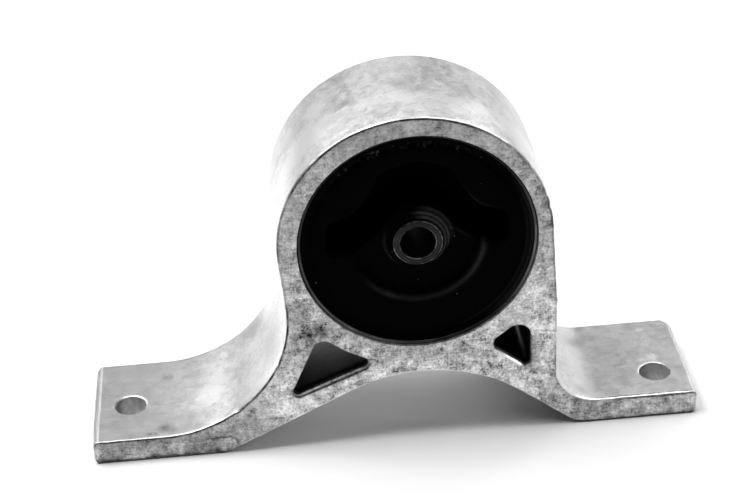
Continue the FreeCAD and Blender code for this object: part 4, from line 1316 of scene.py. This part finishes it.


# stains and painted light and shade by place on the casting: dark below zero, light above, per vertex in millimetres
SPOTS = [
    # x, y, z, radius, strength
    # front faces: dark smudges
    (-34.9, Y_FRONT, -32.9, 2.6, -0.62), (-39.1, Y_FRONT, -36.0, 2.4, -0.50), (-36.6, Y_FRONT, -30.6, 1.8, -0.35), (-42.7, Y_FRONT, -20.3, 1.4, -0.35),
    (-39.8, Y_FRONT, -22.3, 2.2, -0.36), (-33.2, Y_FRONT, -34.0, 1.6, -0.30), (-43.5, Y_FRONT, -25.5, 4.5, -0.22), (-64.0, Y_FRONT, -69.5, 5.5, -0.26), (50.5, Y_FRONT, -75.5, 3.0, -0.22), (46.2, Y_FRONT, -70.0, 3.6, -0.40), (47.6, Y_FRONT, -64.5, 2.6, -0.26), (-45.0, Y_FRONT, -22.5, 1.9, -0.35), (-43.6, Y_FRONT, 8.0, 1.4, -0.40), (-40.0, Y_FRONT, 21.0, 1.3, -0.25),
    (20.0, Y_FRONT, -51.5, 3.0, -0.16), (11.5, Y_FRONT, -50.5, 2.2, -0.22), (42.5, Y_FRONT, -56.8, 1.5, -0.45), (45.2, Y_FRONT, -53.5, 1.1, -0.35),
    (43.5, Y_FRONT, -51.3, 0.7, -0.45), (44.6, Y_FRONT, -52.8, 0.7, -0.45), (46.0, Y_FRONT, -54.8, 0.7, -0.45), (-10.5, Y_FRONT, -49.2, 1.6, -0.25),
    (44.2, Y_FRONT, 12.0, 1.2, -0.45), (43.2, Y_FRONT, 17.5, 1.0, -0.35), (45.0, Y_FRONT, 3.0, 1.0, -0.3), (-12.0, Y_FRONT, -46.5, 2.0, -0.20),
    # front faces: paler ground
    (19.5, Y_FRONT, -40.2, 4.6, 0.46), (24.5, Y_FRONT, -36.8, 3.2, 0.22), (11.0, Y_FRONT, -43.2, 2.6, 0.16), (-26.2, Y_FRONT, -40.9, 2.4, 0.34), (-47.2, Y_FRONT, -50.0, 2.0, 0.22), (-13.5, Y_FRONT, -44.6, 2.2, 0.24),
    (40.0, Y_FRONT, -30.5, 3.0, 0.16), (-30.0, Y_FRONT, 33.5, 3.2, 0.16), (-37.5, Y_FRONT, 23.0, 2.6, 0.20), (-49.0, Y_FRONT, -44.2, 2.8, 0.26), (43.0, Y_FRONT, -15.6, 3.0, 0.20),
    (42.5, Y_FRONT, -27.0, 4.0, 0.20), (27.9, Y_FRONT, -33.6, 4.0, 0.32), (38.5, Y_FRONT, -20.8, 4.2, 0.42), (36.0, Y_FRONT, -26.5, 3.6, 0.30),
    (44.5, Y_FRONT, -14.0, 2.6, 0.30), (-19.6, Y_FRONT, -43.6, 3.0, 0.36), (-27.0, Y_FRONT, -38.6, 2.6, 0.25), (-52.0, Y_FRONT, -52.0, 4.0, 0.12),
    (-46.5, Y_FRONT, -56.0, 2.0, 0.30), (75.0, Y_FRONT, -76.0, 8.0, 0.12), (57.0, Y_FRONT, -78.0, 3.0, 0.2),
    # short foot, front: dark stains low down and by the end
    (66.5, Y_FRONT, -79.0, 1.6, -0.35), (90.0, Y_FRONT, -79.3, 2.0, -0.40), (98.5, Y_FRONT, -79.8, 1.2, -0.5), (80.0, Y_FRONT, -80.0, 1.3, -0.35),
    # long foot, top
    (-93.3, -18.6, Z_TOP, 2.5, -0.42), (-90.0, -20.6, Z_TOP, 1.5, -0.25), (-93.5, 12.9, Z_TOP, 1.2, -0.22), (-91.4, 13.2, Z_TOP, 0.9, -0.25),
    (-98.7, -21.6, Z_TOP, 0.9, -0.35), (-96.6, -21.8, Z_TOP, 0.8, -0.30), (-112.0, -15.0, Z_TOP, 3.0, -0.08), (-110.2, -2.8, Z_TOP, 1.4, -0.22),
    # short foot, top
    (61.2, 13.0, Z_TOP, 3.5, -0.22), (69.5, 8.0, Z_TOP, 1.1, -0.20), (69.0, 14.0, Z_TOP, 1.2, -0.18), (76.0, -16.0, Z_TOP, 1.6, -0.12), (92.0, -17.0, Z_TOP, 2.4, -0.12), (58.5, -18.5, -70.8, 2.6, -0.20), (84.6, -2.0, Z_TOP, 1.5, 0.34), (88.6, -0.6, Z_TOP, 1.8, 0.40), (65.0, 22.0, Z_TOP, 2.0, -0.25), (72.0, 22.5, Z_TOP, 1.2, -0.2), (76.0, 3.0, Z_TOP, 1.3, -0.22), (84.0, 21.5, Z_TOP, 1.6, -0.15),
    # drum: small marks, and broad spots (radius 3.5 mm and up) of painted light and painted shade
    (-25.0, 20.0, 43.7, 2.4, -0.36), (-21.5, 21.5, 45.3, 1.3, -0.30), (-29.0, 19.0, 41.0, 1.2, -0.25), (3.5, -3.9, 50.3, 2.4, -0.26), (0.8, -6.5, 50.3, 1.3, -0.22),
    (6.5, -5.0, 50.0, 1.2, -0.2), (30.3, -10.2, 40.2, 1.3, -0.30), (31.8, -12.0, 39.0, 0.9, -0.35), (28.6, -8.5, 41.4, 0.8, -0.3), (33.5, -14.5, 37.4, 0.9, -0.3),
    (-6.1, 4.6, 50.0, 0.8, 0.30), (-6.0, 7.0, 50.0, 0.8, 0.25), (-14.6, -21.0, 48.2, 4.5, -0.16), (19.0, -22.5, 46.7, 4.0, -0.13), (7.9, -11.0, 49.8, 4.5, 0.16),
    (11.0, -3.5, 47.5, 4.5, 0.14), (27.3, -1.0, 40.2, 4.5, 0.16), (10.0, 16.5, 47.6, 4.5, 0.12), (-32.5, 8.5, 36.8, 6.0, 0.16), (-20.0, 5.0, 45.0, 4.5, 0.14),
    (-3.0, 1.8, 49.0, 3.5, -0.20), (-12.0, -14.0, 48.5, 4.0, -0.10), (-2.0, -17.0, 49.5, 4.0, -0.08), (-45.6, 7.8, 18.8, 3.0, -0.18),
    # the sweep, darker near its top and with a painted highlight lower down; then broad painted light on the drum's
    # upper left, and small smudges on the drum
    (-58.5, 19.0, -55.5, 7.0, -0.32), (-54.5, 10.0, -50.0, 6.0, -0.22),
    (-73.0, -2.0, -66.8, 6.5, 0.26), (-79.0, -4.0, -69.2, 5.0, 0.20), (-62.5, 8.0, -59.6, 6.0, 0.14),
    (-33.6, -5.5, 37.6, 6.0, 0.20), (-40.5, -4.0, 30.0, 5.0, 0.18), (-47.6, -16.0, 17.0, 1.2, -0.35), (12.0, 21.0, 48.6, 1.3, -0.22), (-8.0, 20.0, 49.4, 1.6, -0.18),
]


def paint_tone(ob):
    co = get_co(ob.data)
    x, y, z = co.T
    t = np.zeros(len(co))
    rad = np.hypot(x - RING_OFF[0], z - RING_OFF[1])
    ang = np.degrees(np.arctan2(z, x))
    face = y < Y_FRONT + 0.35
    drum = (rad > 46.5) & (z > -8) & ~face
    foot_top = (np.abs(z - Z_TOP) < 0.4) & ~face
    # painted light: the front half of the drum is painted lighter than the back half; the change is soft and uneven
    w = nz(co * np.array([1, 1, 1]), 7.0, 71) * 2.2 + nz(co, 2.6, 72) * 1.2
    half = smooth01((Y_PART + 1.2 + w - y) / 4.5)
    fade = smooth01((z + 8.0) / 18.0)
    t += np.where(drum, -0.06 + 0.12 * half, 0) * fade
    # painted highlight: a bright band just before the parting line, strongest upper left
    band = np.exp(-(((y - (Y_PART - 3.2)) + 0.5 * w) / 3.6) ** 2)
    t += fade * np.where(drum, 0.22 * band * (0.35 + 0.65 * np.exp(-((ang - 128) / 26) ** 2)), 0)
    # darker towards the bottom edge of the front faces and of the surfaces just behind it, more so on the long foot
    low = smooth01((Z_BOTTOM + 1.9 - z) / 1.9) * (face | (y < Y_FRONT + 1.4))
    t -= 0.25 * low
    t -= 0.30 * smooth01((Z_BOTTOM + 3.2 - z) / 2.4) * smooth01((-66 - x) / 10) * face
    # painted shade on the undersides under the arch: nearly black towards the short foot's toe
    nor = get_nor(ob.data)
    under = smooth01((-nor[:, 2] - 0.15) / 0.3) * (z > Z_BOTTOM + 0.05) * (z < -45)
    t -= under * (0.02 + 0.72 * smooth01((x - 20) / 20))
    # painted shade: upward-facing surfaces at the height of the foot tops are painted darker, more towards the long
    # foot's end
    foot_top_shade = np.exp(-(np.clip(z - Z_TOP, 0, 99) / 3.2) ** 2) * smooth01((nor[:, 2] - 0.6) / 0.3) * ~face
    t -= foot_top_shade * np.where(x < 0, 0.20 + 0.16 * smooth01((-88 - x) / 14), 0.15)
    # the wall of the sweep is dull close behind its front edge
    t -= 0.34 * np.exp(-(((x + 53.0) / 5.0) ** 2 + ((z + 46.5) / 9.0) ** 2 + ((y + 5.0) / 9.0) ** 2)) * ~face
    # a painted shade line round the end of the relief's step; just inside it the face is a little lighter
    q = 2.6
    dd = np.where((x > STEP_END - q) & (z > STEP_TOP - q), np.hypot(x - STEP_END + q, z - STEP_TOP + q) - q, np.maximum(x - STEP_END, z - STEP_TOP))
    t -= 0.55 * face * np.exp(-((dd - 0.1) / 0.55) ** 2) * smooth01((x + 86) / 10)
    t += 0.10 * face * (dd < -0.5) * smooth01((x + 76) / 5)
    # painted light: the lower legs of the front face are painted brighter than the ring and the long foot; the terms
    # below paint further regions of the face lighter and darker in the same way
    web = face * smooth01((-44 - z) / 8) * smooth01((x + 60) / 10) * smooth01((58 - x) / 6)
    t += 0.44 * web
    t += 0.50 * face * smooth01((x - 35) / 7) * smooth01((-20 - z) / 14) * smooth01((z + 50) / 10)
    t -= 0.14 * face * smooth01((x - 40) / 4) * smooth01((-44 - z) / 6) * smooth01((z + 76) / 5)
    t -= 0.28 * face * smooth01((-66 - x) / 8) * smooth01((-70 - z) / 2.5)
    t += 0.08 * face * smooth01((x - 54) / 6)
    t -= 0.10 * face * smooth01((rad - 30) / 5) * smooth01((z + 6) / 14) + 0.07 * face * smooth01((z - 32) / 8)
    t += 0.16 * face * smooth01((-36 - x) / 4) * smooth01((z + 24) / 6) * smooth01((14 - z) / 8)

    def spot(px, py, pz, r, k, seed=0):
        d = np.sqrt((x - px) ** 2 + (y - py) ** 2 + (z - pz) ** 2)
        near = d < r * 3.0
        if near.any():
            jag = nz(co[near], max(0.9, r * 0.5), 50 + seed)
            t[near] += k * np.exp(-(d[near] / (r * (1 + 0.35 * jag))) ** 2)

    for i, s in enumerate(SPOTS):
        spot(*s, seed=i)
    mot = 1.0 - 0.5 * foot_top_shade
    crusty = 0.82 + 0.12 * smooth01((-34 - z) / 8) * smooth01((x + 30) / 14) - 0.10 * smooth01((x - 52) / 6) - 0.08 * smooth01((-66 - x) / 6)
    crusty += 0.30 * np.exp(-(((x + 40) / 9) ** 2 + ((z + 27) / 12) ** 2)) - 0.17 * smooth01((z - 30) / 8) - 0.12 * smooth01((-38 - x) / 4) * smooth01((z + 14) / 8)
    for name, val in (("tone", t), ("mottle", mot), ("crusty", crusty)):
        at = ob.data.attributes.get(name) or ob.data.attributes.new(name, "FLOAT", "POINT")
        at.data.foreach_set("value", val.astype(np.float32))


paint_tone(casting)
mat_cast = cast_aluminium()
mat_rubber = black_rubber()
mat_tube = turned_steel("tube_steel", 0.014, 0.40, 0.16, False, ((6.32, 0.24, 0.15), (8.42, 0.22, 0.19), (7.35, 0.16, 0.03)))
mat_sleeve = turned_steel("sleeve_steel", 0.16, 0.40, 0.30, True)


def dress(ob, mat, node):
    ob.data.materials.clear()
    ob.data.materials.append(mat)
    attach(ob, "root")
    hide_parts(node)


dress(casting, mat_cast, "bracket")
dress(rubber, mat_rubber, "bush_rubber")
dress(sleeve, mat_sleeve, "bush_outer_sleeve")
dress(tube, mat_tube, "bush_inner_tube")


# ------------------------------------------------------------------ floor, lights, camera
def build_stage():
    me = bpy.data.meshes.new("floor")
    s, zf = 6.0, Z_BOTTOM * MM - 0.00002
    me.from_pydata([(-s, -s, zf), (s, -s, zf), (s, s, zf), (-s, s, zf)], [], [(0, 1, 2, 3)])
    ob = bpy.data.objects.new("floor", me)
    bpy.context.scene.collection.objects.link(ob)
    mat = bpy.data.materials.new("paper")
    mat.use_nodes = True
    b = mat.node_tree.nodes["Principled BSDF"]
    b.inputs["Base Color"].default_value = (0.74, 0.74, 0.74, 1)
    b.inputs["Roughness"].default_value = 0.9
    b.inputs["Specular IOR Level"].default_value = 0.1
    me.materials.append(mat)
    return ob


build_stage()


def softbox(name, azimuth, elevation, size, power, dist=1.6):
    """Square softbox at a compass place round the part: azimuth 0 is in front of it, 90 to its right."""
    a, e = math.radians(azimuth), math.radians(elevation)
    loc = Vector((math.sin(a) * math.cos(e), -math.cos(a) * math.cos(e), math.sin(e))) * dist - Vector((0, 0, 0.08))
    li = bpy.data.lights.new(name, "AREA")
    li.shape = "SQUARE"
    li.size = size
    li.energy = power
    ob = bpy.data.objects.new(name, li)
    ob.location = loc
    ob.rotation_euler = (Vector((0, 0, -0.03)) - loc).to_track_quat("-Z", "Y").to_euler()
    bpy.context.scene.collection.objects.link(ob)
    return ob


LIGHTS = (
    ("top", 0, 90, 0.5, 7.5),
    ("high_left", 270, 62, 0.7, 20.0),
    ("high_back_left", 225, 62, 0.7, 5.6),
    ("high_back_right", 135, 62, 0.7, 3.4),
    ("high_right", 90, 62, 0.7, 2.2),
    ("low_right", 90, 30, 0.6, 6.3),
    ("low_back_right", 135, 30, 0.6, 3.2),
    ("low_back_left", 225, 30, 0.6, 2.0),
    ("low_back", 180, 30, 0.6, 0.7),
    ("edge_front", 5, 58, 0.30, 0.9),
    ("edge_right", 56, 37, 0.25, 0.7),
)
for row in LIGHTS:
    softbox(*row)
world = bpy.data.worlds.new("studio")
bpy.context.scene.world = world
world.use_nodes = True
bg = world.node_tree.nodes["Background"]
bg.inputs["Color"].default_value = (1, 1, 1, 1)
bg.inputs["Strength"].default_value = 0.03

sc = bpy.context.scene
sc.view_settings.view_transform = "Standard"
sc.view_settings.look = "None"
sc.view_settings.exposure = 0.0
sc.view_settings.gamma = 1.0


def build_camera():
    yaw, pitch, roll = 0.0661, 0.5434, -0.0471
    cy_, sy_, cp, sp, cr, sr = math.cos(yaw), math.sin(yaw), math.cos(pitch), math.sin(pitch), math.cos(roll), math.sin(roll)
    R0 = np.array([[1, 0, 0], [0, 0, -1], [0, 1, 0]], float)
    Ry = np.array([[cy_, 0, -sy_], [0, 1, 0], [sy_, 0, cy_]])
    Rx = np.array([[1, 0, 0], [0, cp, -sp], [0, sp, cp]])
    Rz = np.array([[cr, -sr, 0], [sr, cr, 0], [0, 0, 1]])
    R = Rz @ Rx @ Ry @ R0
    cam = bpy.data.cameras.new("camera")
    cam.sensor_width = 36.0
    cam.lens = 1846.31 / 750.0 * 36.0
    ob = bpy.data.objects.new("camera", cam)
    bpy.context.scene.collection.objects.link(ob)
    M = Matrix.Identity(4)
    for i in range(3):
        M[i][0], M[i][1], M[i][2] = R[0][i], -R[1][i], -R[2][i]
    M[0][3], M[1][3], M[2][3] = -0.05043, -0.56099, 0.32430
    ob.matrix_world = M
    bpy.context.scene.camera = ob


build_camera()
